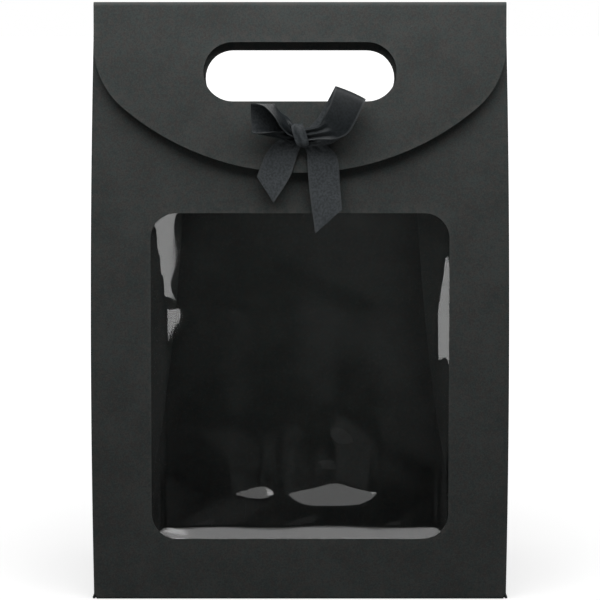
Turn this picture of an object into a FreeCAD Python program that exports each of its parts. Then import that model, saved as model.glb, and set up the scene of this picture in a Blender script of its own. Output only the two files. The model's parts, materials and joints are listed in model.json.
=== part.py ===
"""Gift box of black card: a wedge-shaped carrier with a clear window, a curved lid and a satin bow.

The front and back walls rise from a rectangular base and lean in until they nearly meet. Each side is a
gusset that folds inwards on a centre crease, above a triangular foot. The lid hangs from a crease on the
back wall and comes down over the front, where a hook-and-loop dot holds it.

Frame: millimetres, +Z up, the front towards -Y, origin in the middle of the base, on the surface below it.
"""
import FreeCAD, Part
import math
import os
import Sketcher

Vector = FreeCAD.Vector

# Driving sizes, in millimetres.
SIZES = {
    # The folded card body
    "body_width": 190.0,
    "base_depth": 90.0,
    "wall_slant": 271.0,          # along a wall, from its bottom crease to the lid's crease
    "card": 0.6,
    "mouth_gap": 5.0,             # between the walls' inner faces, level with the lid's crease
    "front_drop": 10.0,           # how far the front wall stops short of the lid's crease
    "crease_radius": 0.6,         # the rounded bead that a fold line leaves in the card
    "crease_gap": 0.3,
    # Base flaps and gussets
    "base_lock": 12.0,            # step of the seam where the two main base flaps interlock
    "side_flap_length": 40.0,
    "side_flap_taper": 12.0,
    "foot_margin": 0.8,           # between a diagonal crease and the card on either side of it
    "foot_tip": 1.0,
    "gusset_inset": 0.9,          # from the walls' side edges in to the gusset
    "seam_tab_width": 15.0,
    "seam_tab_end": 14.0,
    # Window
    "window_width": 136.0,
    "window_height": 149.0,
    "window_radius": 11.5,
    "window_sill": 27.0,
    "film_margin": 10.0,
    "film": 0.25,
    "film_glue": 0.15,
    "film_glue_inset": 1.5,
    # Hand hole
    "hand_hole_length": 88.0,
    "hand_hole_height": 27.0,
    "hand_hole_drop": 34.0,       # below the lid's crease, on both walls
    "lid_hole_drop": 32.0,        # below the top of the lid
    # Lid
    "lid_width": 188.0,
    "lid_drop": 78.0,
    "lid_side": 19.5,             # straight part of the lid's side edges
    "lid_shoulder": 38.0,         # radius that turns the side edge into the bottom curve
    "lid_fold": 2.0,
    "lid_crease_gap": 0.4,        # room beside the crease for the lid to swing back past upright
    # Hook-and-loop closure
    "dot_diameter": 20.0,
    "dot_thickness": 1.9,
    "dot_adhesive": 0.2,
    "dot_gap": 0.3,
    "dot_rise": 16.0,             # dot's centre above the lid's lowest point
    # Ribbon bow
    "ribbon_width": 15.0,
    "ribbon": 0.4,
    "bow_drop": 61.5,             # knot's centre below the top of the lid
    "bow_glue": 1.2,
    "bow_glue_diameter": 6.0,
    "knot_width": 6.4,
    "knot_height": 11.0,
    "knot_depth": 6.0,
    "knot_round": 2.0,
}

# Each row of a ribbon form is a cross-section: its middle (across, up, out) in millimetres, and the way
# the ribbon's width points there (across, up, out), where a length of 1 is the whole ribbon width. A loop
# is measured from the side of the knot that it leaves, a tail from under the middle of the knot, and out
# is measured from the face of the lid.
LEFT_LOOP = [
    (-1.3, -1.2, 4.4, 0.10, -0.42, -0.12),
    (-5.2, -1.4, 7.4, 0.34, -0.36, -0.60),
    (-11.0, -0.9, 9.0, 0.50, -0.18, -0.80),
    (-15.2, 1.6, 9.6, 0.55, -0.17, -0.80),
    (-15.8, 7.0, 9.8, 0.55, -0.17, -0.80),
    (-14.6, 12.4, 9.6, 0.55, -0.17, -0.80),
    (-11.0, 13.2, 9.2, 0.55, -0.17, -0.80),
    (-7.0, 9.2, 8.6, 0.50, -0.24, -0.76),
    (-3.6, 4.6, 7.4, 0.32, -0.42, -0.48),
    (-1.3, 1.8, 6.2, 0.14, -0.40, -0.10),
]
RIGHT_LOOP = [
    (2.1, 1.4, 5.0, 0.20, -0.42, 0.05),
    (6.4, 4.8, 8.0, 0.68, -0.46, 0.10),
    (11.6, 9.8, 10.2, 0.88, -0.40, 0.12),
    (16.2, 15.2, 10.4, 0.90, -0.40, 0.10),
    (19.0, 19.2, 8.8, 0.90, -0.40, 0.10),
    (19.6, 20.2, 6.6, 0.90, -0.40, 0.08),
    (18.2, 18.2, 4.6, 0.90, -0.40, 0.06),
    (15.0, 12.2, 3.4, 0.90, -0.40, 0.06),
    (11.2, 5.2, 3.0, 0.88, -0.42, 0.05),
    (6.4, 0.2, 2.9, 0.66, -0.50, 0.00),
    (2.1, -1.6, 2.7, 0.16, -0.42, 0.00),
]
LEFT_TAIL = [
    (-5.6, 0.4, 1.6, 0.60, -0.40, 0.00),
    (-8.8, -4.4, 1.3, 0.84, -0.34, 0.00),
    (-11.6, -11.5, 1.0, 0.88, -0.30, 0.00),
    (-15.8, -18.7, 1.0, 0.51, -0.79, 0.00),
]
RIGHT_TAIL = [
    (7.4, -0.2, 1.6, 0.58, 0.25, 0.00),
    (10.2, -6.6, 1.3, 0.90, 0.26, 0.00),
    (11.2, -17.8, 1.0, 0.93, 0.10, 0.00),
    (13.0, -33.2, 1.0, 0.82, 0.73, 0.00),
]

# Lower and upper sections of a gusset half, below and above the tip of its foot.
GUSSET_LOW_SECTIONS = 4
GUSSET_HIGH_SECTIONS = 8
GUSSET_LOW_START = 0.1

doc = FreeCAD.newDocument("gift_box")
sheet = doc.addObject("Spreadsheet::Sheet", "Sizes")
for row, (alias, size) in enumerate(SIZES.items(), start=1):
    sheet.set(f"A{row}", alias)
    sheet.set(f"B{row}", str(size))
    sheet.setAlias(f"B{row}", alias)
doc.recompute()

# Distances of the fold lines from the middle of the base, and the lean of the walls.
AXIS_X = "(Sizes.body_width / 2 - Sizes.crease_radius)"
AXIS_Y = "(Sizes.base_depth / 2 - Sizes.crease_radius)"
BEAD_REACH = "(Sizes.crease_radius + Sizes.crease_gap)"
LEAN = f"asin(({AXIS_Y} - Sizes.card / 2 - Sizes.mouth_gap / 2) / Sizes.wall_slant)"
FOOT_TILT = f"acos((1 - sin({LEAN})) / cos({LEAN}))"

# Where a gusset's foot starts above its crease: clear of the side flap that lies on the main flaps.
SIDE_FLAP_TOP = "(2 * Sizes.card - Sizes.crease_radius)"
FOOT_CLEAR = f"({SIDE_FLAP_TOP} + Sizes.crease_gap + Sizes.card / 2 * sin({FOOT_TILT}))"
FOOT_START = f"({FOOT_CLEAR} / cos({FOOT_TILT}))"

# The lid, seen from the front wall: how far inside that wall its crease lies, how far up, and how far in
# front of its crease the flap hangs.
LID_INSIDE = f"(cos({LEAN}) * (Sizes.card + Sizes.mouth_gap))"
LID_UP = f"(2 * {AXIS_Y} * sin({LEAN}) + Sizes.wall_slant * cos(2 * {LEAN}))"
LID_STANDOFF = "(2 * (Sizes.dot_thickness + Sizes.dot_adhesive) + Sizes.dot_gap)"
LID_REACH = f"({LID_INSIDE} + Sizes.card + {LID_STANDOFF})"
LID_FACE = f"({LID_REACH} + Sizes.card / 2)"


def side_frame(distance, turn, lean):
    """Frame of a card side that stands on a base crease and leans in: x along it, z up it, -y outwards."""
    around = f"placement(vector(0; 0; Sizes.crease_radius); rotation(vector(0; 0; 1); {turn}))"
    upright = f"placement(vector(0; -{distance}; 0); rotation(vector(1; 0; 0); -{lean}))"
    return f"{around} * {upright}"


def base_frame(turn):
    """Frame of a base flap that is creased to the front side, turned to any other side."""
    return f"placement(vector(0; 0; 0); rotation(vector(0; 0; 1); {turn}))"


FRONT_WALL = side_frame(AXIS_Y, 0, LEAN)
BACK_WALL = side_frame(AXIS_Y, 180, LEAN)
LID = f"{FRONT_WALL} * placement(vector(0; {LID_INSIDE}; {LID_UP}); rotation(vector(1; 0; 0); 0))"

sub_parts = []


def value(expression):
    """The number that an expression gives with the sizes as they stand."""
    result = sheet.evalExpression(expression)
    return float(getattr(result, "Value", result))


def new_body(label, frame):
    """An empty body of the document, placed in a frame."""
    body = doc.addObject("PartDesign::Body", label)
    body.Label = label
    body.setExpression("Placement", frame)
    sub_parts.append(body)
    return body


def new_sketch(body, role, offset="0"):
    """A sketch on one of the body's own planes, moved along the plane's normal."""
    sketch = body.newObject("Sketcher::SketchObject", f"{body.Label}_{role}_sketch")
    plane = next(feature for feature in body.Origin.OriginFeatures if feature.Role == role)
    sketch.AttachmentSupport = [(plane, "")]
    sketch.MapMode = "FlatFace"
    sketch.setExpression("AttachmentOffset.Base.z", offset)
    return sketch


def new_pad(body, sketch, length, symmetric=False):
    """Extrude a sketch along its normal, or to both sides of its plane."""
    pad = body.newObject("PartDesign::Pad", f"{body.Label}_pad")
    pad.Profile = sketch
    pad.setExpression("Length", length)
    pad.SideType = "Symmetric" if symmetric else "One side"
    return pad


def pin(sketch, geometry, position, across, up):
    """Hold one point of a sketch at a place given by two expressions, where "0" means on the axis."""
    for kind, axis, expression in (("DistanceX", -2, across), ("DistanceY", -1, up)):
        if expression == "0":
            sketch.addConstraint(Sketcher.Constraint("PointOnObject", geometry, position, axis))
            continue
        distance = Sketcher.Constraint(kind, -1, 1, geometry, position, value(expression))
        index = sketch.addConstraint(distance)
        sketch.setExpression(f"Constraints[{index}]", expression)


def point_at(across, up):
    """The point of a sketch that two expressions give."""
    return Vector(value(across), value(up), 0)


def pinned_line(sketch, start, end):
    """A straight edge whose two ends are held by expressions."""
    line = sketch.addGeometry(Part.LineSegment(point_at(*start), point_at(*end)))
    pin(sketch, line, 1, *start)
    pin(sketch, line, 2, *end)
    return line


def polygon(sketch, corners):
    """A closed outline with straight edges, each corner held by two expressions."""
    points = [point_at(*corner) for corner in corners]
    lines = []
    for start, end in zip(points, points[1:] + points[:1]):
        lines.append(sketch.addGeometry(Part.LineSegment(start, end)))
    for index, corner in enumerate(corners):
        sketch.addConstraint(Sketcher.Constraint("Coincident", lines[index - 1], 2, lines[index], 1))
        pin(sketch, lines[index], 1, *corner)


def circle(sketch, across, up, diameter):
    """A circle with its centre held by two expressions."""
    round_edge = Part.Circle(point_at(across, up), Vector(0, 0, 1), value(diameter) / 2)
    geometry = sketch.addGeometry(round_edge)
    pin(sketch, geometry, 3, across, up)
    index = sketch.addConstraint(Sketcher.Constraint("Diameter", geometry, value(diameter)))
    sketch.setExpression(f"Constraints[{index}]", diameter)


def turn_between(sketch, first, second, centre, start_degrees, end_degrees):
    """An arc that runs on from the end of one line, tangent to it, to the start of the next."""
    radius = (point_at(*centre) - sketch.getPoint(first, 2)).Length
    whole = Part.Circle(point_at(*centre), Vector(0, 0, 1), radius)
    arc = Part.ArcOfCircle(whole, math.radians(start_degrees), math.radians(end_degrees))
    geometry = sketch.addGeometry(arc)
    sketch.addConstraint(Sketcher.Constraint("Tangent", first, 2, geometry, 1))
    sketch.addConstraint(Sketcher.Constraint("Coincident", geometry, 2, second, 1))


def rounded_rectangle(sketch, width, height, middle, radius):
    """A rectangle with round corners, centred on the sketch's upright axis at a height."""
    side = f"({width} / 2)"
    low = f"({middle} - {height} / 2)"
    high = f"({middle} + {height} / 2)"
    inner = f"({side} - {radius})"
    above = f"({low} + {radius})"
    below = f"({high} - {radius})"
    bottom = pinned_line(sketch, (f"-{inner}", low), (inner, low))
    right = pinned_line(sketch, (side, above), (side, below))
    top = pinned_line(sketch, (inner, high), (f"-{inner}", high))
    left = pinned_line(sketch, (f"-{side}", below), (f"-{side}", above))
    turn_between(sketch, bottom, right, (inner, above), 270, 360)
    turn_between(sketch, right, top, (inner, below), 0, 90)
    turn_between(sketch, top, left, (f"-{inner}", below), 90, 180)
    turn_between(sketch, left, bottom, (f"-{inner}", above), 180, 270)


def slot(sketch, length, height, middle):
    """A slot with round ends, centred on the sketch's upright axis at a height."""
    straight = f"(({length} - {height}) / 2)"
    low = f"({middle} - {height} / 2)"
    high = f"({middle} + {height} / 2)"
    bottom = pinned_line(sketch, (f"-{straight}", low), (straight, low))
    top = pinned_line(sketch, (straight, high), (f"-{straight}", high))
    turn_between(sketch, bottom, top, (straight, middle), 270, 450)
    turn_between(sketch, top, bottom, (f"-{straight}", middle), 90, 270)


def slab(label, frame, inner_face, thickness, draw):
    """A flat piece parallel to a card side: an outline drawn on the side, from inner_face outwards."""
    body = new_body(label, frame)
    sketch = new_sketch(body, "XZ_Plane", inner_face)
    draw(sketch)
    new_pad(body, sketch, thickness)
    return body


def edges_along_x(shape, across, up):
    """Names of the edges along x that pass through a point of the yz plane."""
    names = []
    for number, edge in enumerate(shape.Edges, start=1):
        middle = edge.CenterOfMass
        off = math.hypot(middle.y - across, middle.z - up)
        if off < 1e-4 and edge.BoundBox.YLength + edge.BoundBox.ZLength < 1e-4:
            names.append(f"Edge{number}")
    return names


def base_flap(label, turn, distance, half_length, level, corners):
    """A base flap with the bead of its crease along its outer edge."""
    body = new_body(label, base_frame(turn))
    plate = new_sketch(body, "XY_Plane", level)
    polygon(plate, corners)
    new_pad(body, plate, "Sizes.card")
    bead = new_sketch(body, "YZ_Plane")
    circle(bead, f"-{distance}", "Sizes.crease_radius", "2 * Sizes.crease_radius")
    new_pad(body, bead, f"2 * {half_length}", symmetric=True)


def base_flaps():
    """Two main flaps that interlock along a stepped seam, and two side flaps that lie on them."""
    half = f"({AXIS_X} - {BEAD_REACH})"
    near = "(-Sizes.base_lock - Sizes.crease_gap / 2)"
    far = "(Sizes.base_lock - Sizes.crease_gap / 2)"
    main = [
        (f"-{half}", f"-{AXIS_Y}"),
        (half, f"-{AXIS_Y}"),
        (half, near),
        ("Sizes.base_lock", near),
        ("-Sizes.base_lock", far),
        (f"-{half}", far),
    ]
    base_flap("base_front_flap", 0, AXIS_Y, half, "0", main)
    base_flap("base_back_flap", 180, AXIS_Y, half, "0", main)
    side_half = f"({AXIS_Y} - {BEAD_REACH})"
    end_half = f"({side_half} - Sizes.side_flap_taper)"
    end = f"(-{AXIS_X} + Sizes.side_flap_length)"
    side = [
        (f"-{side_half}", f"-{AXIS_X}"),
        (side_half, f"-{AXIS_X}"),
        (end_half, end),
        (f"-{end_half}", end),
    ]
    base_flap("base_right_flap", 90, AXIS_X, side_half, "Sizes.card", side)
    base_flap("base_left_flap", 270, AXIS_X, side_half, "Sizes.card", side)


def wall_outline(sketch, top):
    """The rectangle of a wall, from above its bottom crease, with the hand hole."""
    half = "(Sizes.body_width / 2)"
    polygon(sketch, [(f"-{half}", BEAD_REACH), (half, BEAD_REACH), (half, top), (f"-{half}", top)])
    hole_middle = "(Sizes.wall_slant - Sizes.hand_hole_drop)"
    slot(sketch, "Sizes.hand_hole_length", "Sizes.hand_hole_height", hole_middle)


WINDOW_MIDDLE = "(Sizes.window_sill + Sizes.window_height / 2)"


def front_panel():
    """Front wall with the window and the hand hole."""
    def draw(sketch):
        wall_outline(sketch, "(Sizes.wall_slant - Sizes.front_drop)")
        rounded_rectangle(
            sketch, "Sizes.window_width", "Sizes.window_height", WINDOW_MIDDLE, "Sizes.window_radius")

    slab("front_panel", FRONT_WALL, "-Sizes.card / 2", "Sizes.card", draw)


def window_film():
    """Clear film behind the window, and the frame of glue that holds it to the card."""
    def film_outline(sketch):
        margin = "2 * Sizes.film_margin"
        rounded_rectangle(
            sketch, f"(Sizes.window_width + {margin})", f"(Sizes.window_height + {margin})",
            WINDOW_MIDDLE, "Sizes.window_radius")

    def glue_outline(sketch):
        film_outline(sketch)
        inset = "2 * Sizes.film_glue_inset"
        rounded_rectangle(
            sketch, f"(Sizes.window_width + {inset})", f"(Sizes.window_height + {inset})",
            WINDOW_MIDDLE, "Sizes.window_radius")

    glue_face = "(-Sizes.card / 2 - Sizes.film_glue)"
    slab("window_glue", FRONT_WALL, glue_face, "Sizes.film_glue", glue_outline)
    slab("window_film", FRONT_WALL, f"{glue_face} - Sizes.film", "Sizes.film", film_outline)


def back_panel():
    """Back wall with the hand hole and, along its top, the bead of the lid's crease."""
    body = slab(
        "back_panel", BACK_WALL, "-Sizes.card / 2", "Sizes.card",
        lambda sketch: wall_outline(sketch, "Sizes.wall_slant"))
    bead = new_sketch(body, "YZ_Plane")
    circle(bead, "0", "Sizes.wall_slant", "2 * Sizes.crease_radius")
    new_pad(body, bead, "Sizes.lid_width", symmetric=True)


def side_seam_tab():
    """Glued lap inside the back wall, along its left edge, that closes the blank."""
    def draw(sketch):
        edge = "(Sizes.body_width / 2 - Sizes.gusset_inset)"
        inner = f"({edge} - Sizes.seam_tab_width)"
        low = "Sizes.seam_tab_end"
        high = "(Sizes.wall_slant - Sizes.seam_tab_end)"
        corners = [
            (edge, low),
            (edge, high),
            (inner, f"({high} - Sizes.seam_tab_width)"),
            (inner, f"({low} + Sizes.seam_tab_width)"),
        ]
        polygon(sketch, corners)

    slab("side_seam_tab", BACK_WALL, "-3 * Sizes.card / 2", "Sizes.card", draw)


def gusset_feet():
    """The triangle of card at the foot of each gusset, between its two diagonal creases."""
    half = f"({AXIS_Y} - {FOOT_START} - Sizes.foot_margin)"
    tip = "(Sizes.foot_tip / 2)"
    top = f"({AXIS_Y} - Sizes.foot_margin - {tip})"
    corners = [(f"-{half}", FOOT_START), (half, FOOT_START), (tip, top), (f"-{tip}", top)]
    for label, turn in (("right_gusset_foot", 90), ("left_gusset_foot", 270)):
        frame = side_frame(AXIS_X, turn, FOOT_TILT)
        slab(label, frame, "-Sizes.card / 2", "Sizes.card", lambda sketch: polygon(sketch, corners))


def gusset_section(height):
    """Edge and crease of the right front gusset half at a height, as points of the plan.

    Above the foot the half keeps its width, so its crease moves in as the walls close; below, it ends on
    the foot's diagonal crease.
    """
    reach = value(AXIS_Y)
    card = sheet.card
    lean = math.radians(value(LEAN))
    rise = height - sheet.crease_radius
    wall_face = reach - rise * math.tan(lean) - card / 2 / math.cos(lean)
    edge = Vector(sheet.body_width / 2 - sheet.gusset_inset, card + sheet.crease_gap - wall_face, height)
    tilt = math.radians(value(FOOT_TILT))
    foot_height = reach * math.cos(tilt)
    if rise < foot_height:
        share = rise / foot_height
        diagonal = Vector(value(AXIS_X) - share * reach * math.sin(tilt), -reach * (1 - share), height)
        back = (edge - diagonal).normalize()
        return edge, diagonal + back * sheet.foot_margin
    depth = math.sqrt(reach ** 2 - edge.y ** 2)
    clear = sheet.crease_gap / 2 + card * depth / reach
    return edge, Vector(edge.x - depth, -clear, height)


def gusset_heights():
    """Heights of the sections of a gusset half, from just above the base corner to the front wall's top."""
    lean = math.radians(value(LEAN))
    low = sheet.crease_radius
    foot = low + value(AXIS_Y) * math.cos(math.radians(value(FOOT_TILT)))
    top = low + (sheet.wall_slant - sheet.front_drop) * math.cos(lean) - sheet.card
    start = low + GUSSET_LOW_START * (foot - low)
    heights = [start + (foot - start) * step / GUSSET_LOW_SECTIONS for step in range(GUSSET_LOW_SECTIONS)]
    heights += [foot + (top - foot) * step / GUSSET_HIGH_SECTIONS for step in range(GUSSET_HIGH_SECTIONS + 1)]
    return heights


def closed_loft(sections):
    """A solid with flat-ruled faces through closed sections."""
    wires = [Part.makePolygon(points + points[:1]) for points in sections]
    return Part.makeLoft(wires, True, True)


def gusset_halves():
    """The four halves of the two gussets: one form, mirrored to each corner."""
    sections = []
    for height in gusset_heights():
        edge, crease = gusset_section(height)
        along = (crease - edge).normalize()
        through = Vector(along.y, -along.x, 0) * sheet.card
        sections.append([edge, crease, crease + through, edge + through])
    form = closed_loft(sections)
    for side, across in (("right", False), ("left", True)):
        for wall, behind in (("front", False), ("back", True)):
            shape = form.copy()
            if across:
                shape = shape.mirror(Vector(0, 0, 0), Vector(1, 0, 0))
            if behind:
                shape = shape.mirror(Vector(0, 0, 0), Vector(0, 1, 0))
            add_feature(f"{side}_{wall}_gusset", shape)


def add_feature(label, shape):
    """A sub-part whose shape is worked out here."""
    feature = doc.addObject("Part::Feature", label)
    feature.Label = label
    feature.Shape = shape
    sub_parts.append(feature)
    return feature


def lid_outline(sketch):
    """Outline of the flap: straight sides, two shoulder arcs and one wide arc, all tangent."""
    half = value("Sizes.lid_width / 2")
    top = value("Sizes.card / 2")
    side_end = value("Sizes.card / 2 - Sizes.lid_side")
    shoulder = value("Sizes.lid_shoulder")
    low = value("Sizes.card / 2 - Sizes.lid_drop")
    inner = half - shoulder
    fall = side_end - low
    wide = (inner ** 2 + fall ** 2 - shoulder ** 2) / (2 * (fall - shoulder))
    centre = low + wide
    angle = math.atan2(side_end - centre, -inner) % (2 * math.pi)
    other_angle = 3 * math.pi - angle

    def line(x_start, z_start, x_end, z_end):
        return sketch.addGeometry(Part.LineSegment(Vector(x_start, z_start, 0), Vector(x_end, z_end, 0)))

    def arc(x_middle, z_middle, radius, start, end):
        whole = Part.Circle(Vector(x_middle, z_middle, 0), Vector(0, 0, 1), radius)
        return sketch.addGeometry(Part.ArcOfCircle(whole, start, end))

    edge = line(half, top, -half, top)
    left = line(-half, top, -half, side_end)
    left_turn = arc(-inner, side_end, shoulder, math.pi, angle)
    curve = arc(0, centre, wide, angle, other_angle)
    right_turn = arc(inner, side_end, shoulder, other_angle, 2 * math.pi)
    right = line(half, side_end, half, top)
    lowest = sketch.addGeometry(Part.Point(Vector(0, low, 0)), True)
    chain = [left, left_turn, curve, right_turn, right]
    for first, second in zip(chain, chain[1:]):
        sketch.addConstraint(Sketcher.Constraint("Tangent", first, 2, second, 1))
    sketch.addConstraint(Sketcher.Constraint("Coincident", edge, 2, left, 1))
    sketch.addConstraint(Sketcher.Constraint("Coincident", right, 2, edge, 1))
    pin(sketch, edge, 1, "(Sizes.lid_width / 2)", "(Sizes.card / 2)")
    pin(sketch, edge, 2, "(-Sizes.lid_width / 2)", "(Sizes.card / 2)")
    pin(sketch, left, 2, "(-Sizes.lid_width / 2)", "(Sizes.card / 2 - Sizes.lid_side)")
    pin(sketch, right, 1, "(Sizes.lid_width / 2)", "(Sizes.card / 2 - Sizes.lid_side)")
    pin(sketch, lowest, 1, "0", "(Sizes.card / 2 - Sizes.lid_drop)")
    sketch.addConstraint(Sketcher.Constraint("PointOnObject", lowest, 1, curve))
    index = sketch.addConstraint(Sketcher.Constraint("Radius", left_turn, shoulder))
    sketch.setExpression(f"Constraints[{index}]", "Sizes.lid_shoulder")
    sketch.addConstraint(Sketcher.Constraint("Equal", left_turn, right_turn))
    slot(sketch, "Sizes.hand_hole_length", "Sizes.hand_hole_height", "(Sizes.card / 2 - Sizes.lid_hole_drop)")


def fold_fillet(body, base, across, up, radius):
    """Round a fold line of the lid, which runs along x."""
    doc.recompute()
    fillet = body.newObject("PartDesign::Fillet", "lid_fold")
    fillet.Base = (base, edges_along_x(base.Shape, value(across), value(up)))
    fillet.setExpression("Radius", radius)
    return fillet


def lid_flap():
    """Roof strip that starts beside its crease on the back wall, and the flap that hangs from it."""
    inner_face = f"({LID_REACH} - Sizes.card / 2)"
    body = slab("lid_flap", LID, inner_face, "Sizes.card", lid_outline)
    roof = new_sketch(body, "XY_Plane", "-Sizes.card / 2")
    half = "(Sizes.lid_width / 2)"
    front = f"(-{LID_REACH} - Sizes.card / 2)"
    back = "(-Sizes.crease_radius - Sizes.lid_crease_gap)"
    polygon(roof, [(f"-{half}", front), (half, front), (half, back), (f"-{half}", back)])
    strip = new_pad(body, roof, "Sizes.card")
    outer = fold_fillet(body, strip, front, "Sizes.card / 2", "Sizes.lid_fold")
    fold_fillet(body, outer, f"(-{inner_face})", "-Sizes.card / 2", "Sizes.lid_fold - Sizes.card")


DOT_UP = "(Sizes.card / 2 - Sizes.lid_drop + Sizes.dot_rise)"


def closure_dots():
    """Loop dot on the front wall and hook dot under the lid, each on its own adhesive disc."""
    def disc(up):
        return lambda sketch: circle(sketch, "0", up, "Sizes.dot_diameter")

    on_wall = disc(f"({LID_UP} + {DOT_UP})")
    wall_face = "(Sizes.card / 2)"
    slab("closure_loop_adhesive", FRONT_WALL, wall_face, "Sizes.dot_adhesive", on_wall)
    slab("closure_loop_dot", FRONT_WALL, f"{wall_face} + Sizes.dot_adhesive", "Sizes.dot_thickness", on_wall)
    on_lid = disc(DOT_UP)
    adhesive_face = f"({LID_REACH} - Sizes.card / 2 - Sizes.dot_adhesive)"
    slab("closure_hook_adhesive", LID, adhesive_face, "Sizes.dot_adhesive", on_lid)
    slab("closure_hook_dot", LID, f"{adhesive_face} - Sizes.dot_thickness", "Sizes.dot_thickness", on_lid)


BOW_UP = "(Sizes.card / 2 - Sizes.bow_drop)"


def bow_knot():
    """Knot of the bow, rounded at the front, on the dot of glue that holds the bow to the lid."""
    def glue(sketch):
        circle(sketch, "0", BOW_UP, "Sizes.bow_glue_diameter")

    def band(sketch):
        rounded_rectangle(sketch, "Sizes.knot_width", "Sizes.knot_height", BOW_UP, "Sizes.knot_round")

    slab("bow_glue_dot", LID, LID_FACE, "Sizes.bow_glue", glue)
    body = slab("bow_knot", LID, f"{LID_FACE} + Sizes.bow_glue", "Sizes.knot_depth", band)
    pad = body.Tip
    doc.recompute()
    front = max(range(len(pad.Shape.Faces)), key=lambda index: -pad.Shape.Faces[index].CenterOfMass.y)
    fillet = body.newObject("PartDesign::Fillet", "knot_front")
    fillet.Base = (pad, [f"Face{front + 1}"])
    fillet.setExpression("Radius", "Sizes.knot_round - Sizes.ribbon / 2")


def ribbon(label, form, across, up):
    """A stretch of ribbon: a thin loft through the sections of its form, in the lid's frame."""
    face = value(LID_FACE)
    middles = []
    widths = []
    for row in form:
        middles.append(Vector(across + row[0], -face - row[2], up + row[1]))
        widths.append(Vector(row[3], -row[5], row[4]) * sheet.ribbon_width)
    sections = []
    last = len(middles) - 1
    for index, (middle, width) in enumerate(zip(middles, widths)):
        along = middles[min(index + 1, last)] - middles[max(index - 1, 0)]
        through = along.cross(width).normalize() * (sheet.ribbon / 2)
        edge = middle - width / 2
        other = middle + width / 2
        sections.append([edge - through, other - through, other + through, edge + through])
    feature = add_feature(label, closed_loft(sections))
    feature.setExpression("Placement", LID)


def bow_ribbons():
    """Two loops that leave the sides of the knot, and two tails that hang from under it."""
    middle = value(BOW_UP)
    side = sheet.knot_width / 2
    below = middle - sheet.knot_height / 2
    ribbon("bow_left_loop", LEFT_LOOP, -side, middle)
    ribbon("bow_right_loop", RIGHT_LOOP, side, middle)
    ribbon("bow_left_tail", LEFT_TAIL, 0.0, below)
    ribbon("bow_right_tail", RIGHT_TAIL, 0.0, below)


def check_and_write():
    """Stop at any failed object or bad shape; then write each sub-part to its own file."""
    for item in doc.Objects:
        if "Invalid" in item.State or "Error" in item.State:
            raise RuntimeError(f"{item.Label} failed: {item.State}")
    for part in sub_parts:
        if part.Shape.isNull() or not part.Shape.isValid() or part.Shape.Volume <= 0:
            raise RuntimeError(f"{part.Label} has no valid shape")
    os.makedirs("parts", exist_ok=True)
    for part in sub_parts:
        part.Shape.exportStep(f"parts/{part.Label}.step")


base_flaps()
front_panel()
window_film()
back_panel()
side_seam_tab()
gusset_feet()
gusset_halves()
lid_flap()
closure_dots()
bow_knot()
bow_ribbons()
doc.recompute()
check_and_write()
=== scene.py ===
"""Looks of the gift box: black card folded to a wedge, a clear film window and a satin bow.

Every sheet of card is a curved mesh with real thickness, folded round its creases, in the frame of the
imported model: metres, +Z up, the front towards -Y.
"""
import json
import math

import bpy
import numpy as np
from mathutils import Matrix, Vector
from mathutils.geometry import delaunay_2d_cdt


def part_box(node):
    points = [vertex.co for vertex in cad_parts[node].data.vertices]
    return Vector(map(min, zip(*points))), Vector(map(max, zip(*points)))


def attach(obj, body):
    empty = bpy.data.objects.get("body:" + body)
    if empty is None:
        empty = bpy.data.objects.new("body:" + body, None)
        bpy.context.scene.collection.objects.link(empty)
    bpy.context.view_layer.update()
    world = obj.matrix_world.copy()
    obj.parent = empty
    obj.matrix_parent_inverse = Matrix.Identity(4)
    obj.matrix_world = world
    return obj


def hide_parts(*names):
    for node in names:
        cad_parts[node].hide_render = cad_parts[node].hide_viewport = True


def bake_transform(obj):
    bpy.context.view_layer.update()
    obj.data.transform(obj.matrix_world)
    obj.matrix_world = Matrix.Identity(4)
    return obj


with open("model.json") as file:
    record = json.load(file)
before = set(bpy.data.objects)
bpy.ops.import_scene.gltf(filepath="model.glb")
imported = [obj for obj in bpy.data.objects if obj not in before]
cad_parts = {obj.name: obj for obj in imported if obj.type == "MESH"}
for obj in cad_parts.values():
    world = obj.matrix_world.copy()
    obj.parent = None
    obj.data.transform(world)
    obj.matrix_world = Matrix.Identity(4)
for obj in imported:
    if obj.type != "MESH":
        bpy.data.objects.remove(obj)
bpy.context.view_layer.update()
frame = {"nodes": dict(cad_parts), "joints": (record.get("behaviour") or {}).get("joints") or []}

MM = 0.001

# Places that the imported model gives.
JOINTS = {joint["name"]: joint for joint in frame["joints"]}
FRONT_CREASE = Vector(JOINTS["front_wall_crease"]["pos_m"])
BACK_CREASE = Vector(JOINTS["back_wall_crease"]["pos_m"])
SIDE_CREASE = Vector(JOINTS["right_foot_crease"]["pos_m"])
LID_CREASE = Vector(JOINTS["lid_crease"]["pos_m"])
REACH = BACK_CREASE.y
LEAN = math.atan2(REACH - LID_CREASE.y, LID_CREASE.z - BACK_CREASE.z)
FOOT_TILT = math.acos((1 - math.sin(LEAN)) / math.cos(LEAN))
HALF_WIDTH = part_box("front_panel")[1].x
LID_HALF_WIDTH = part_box("lid_flap")[1].x

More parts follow.
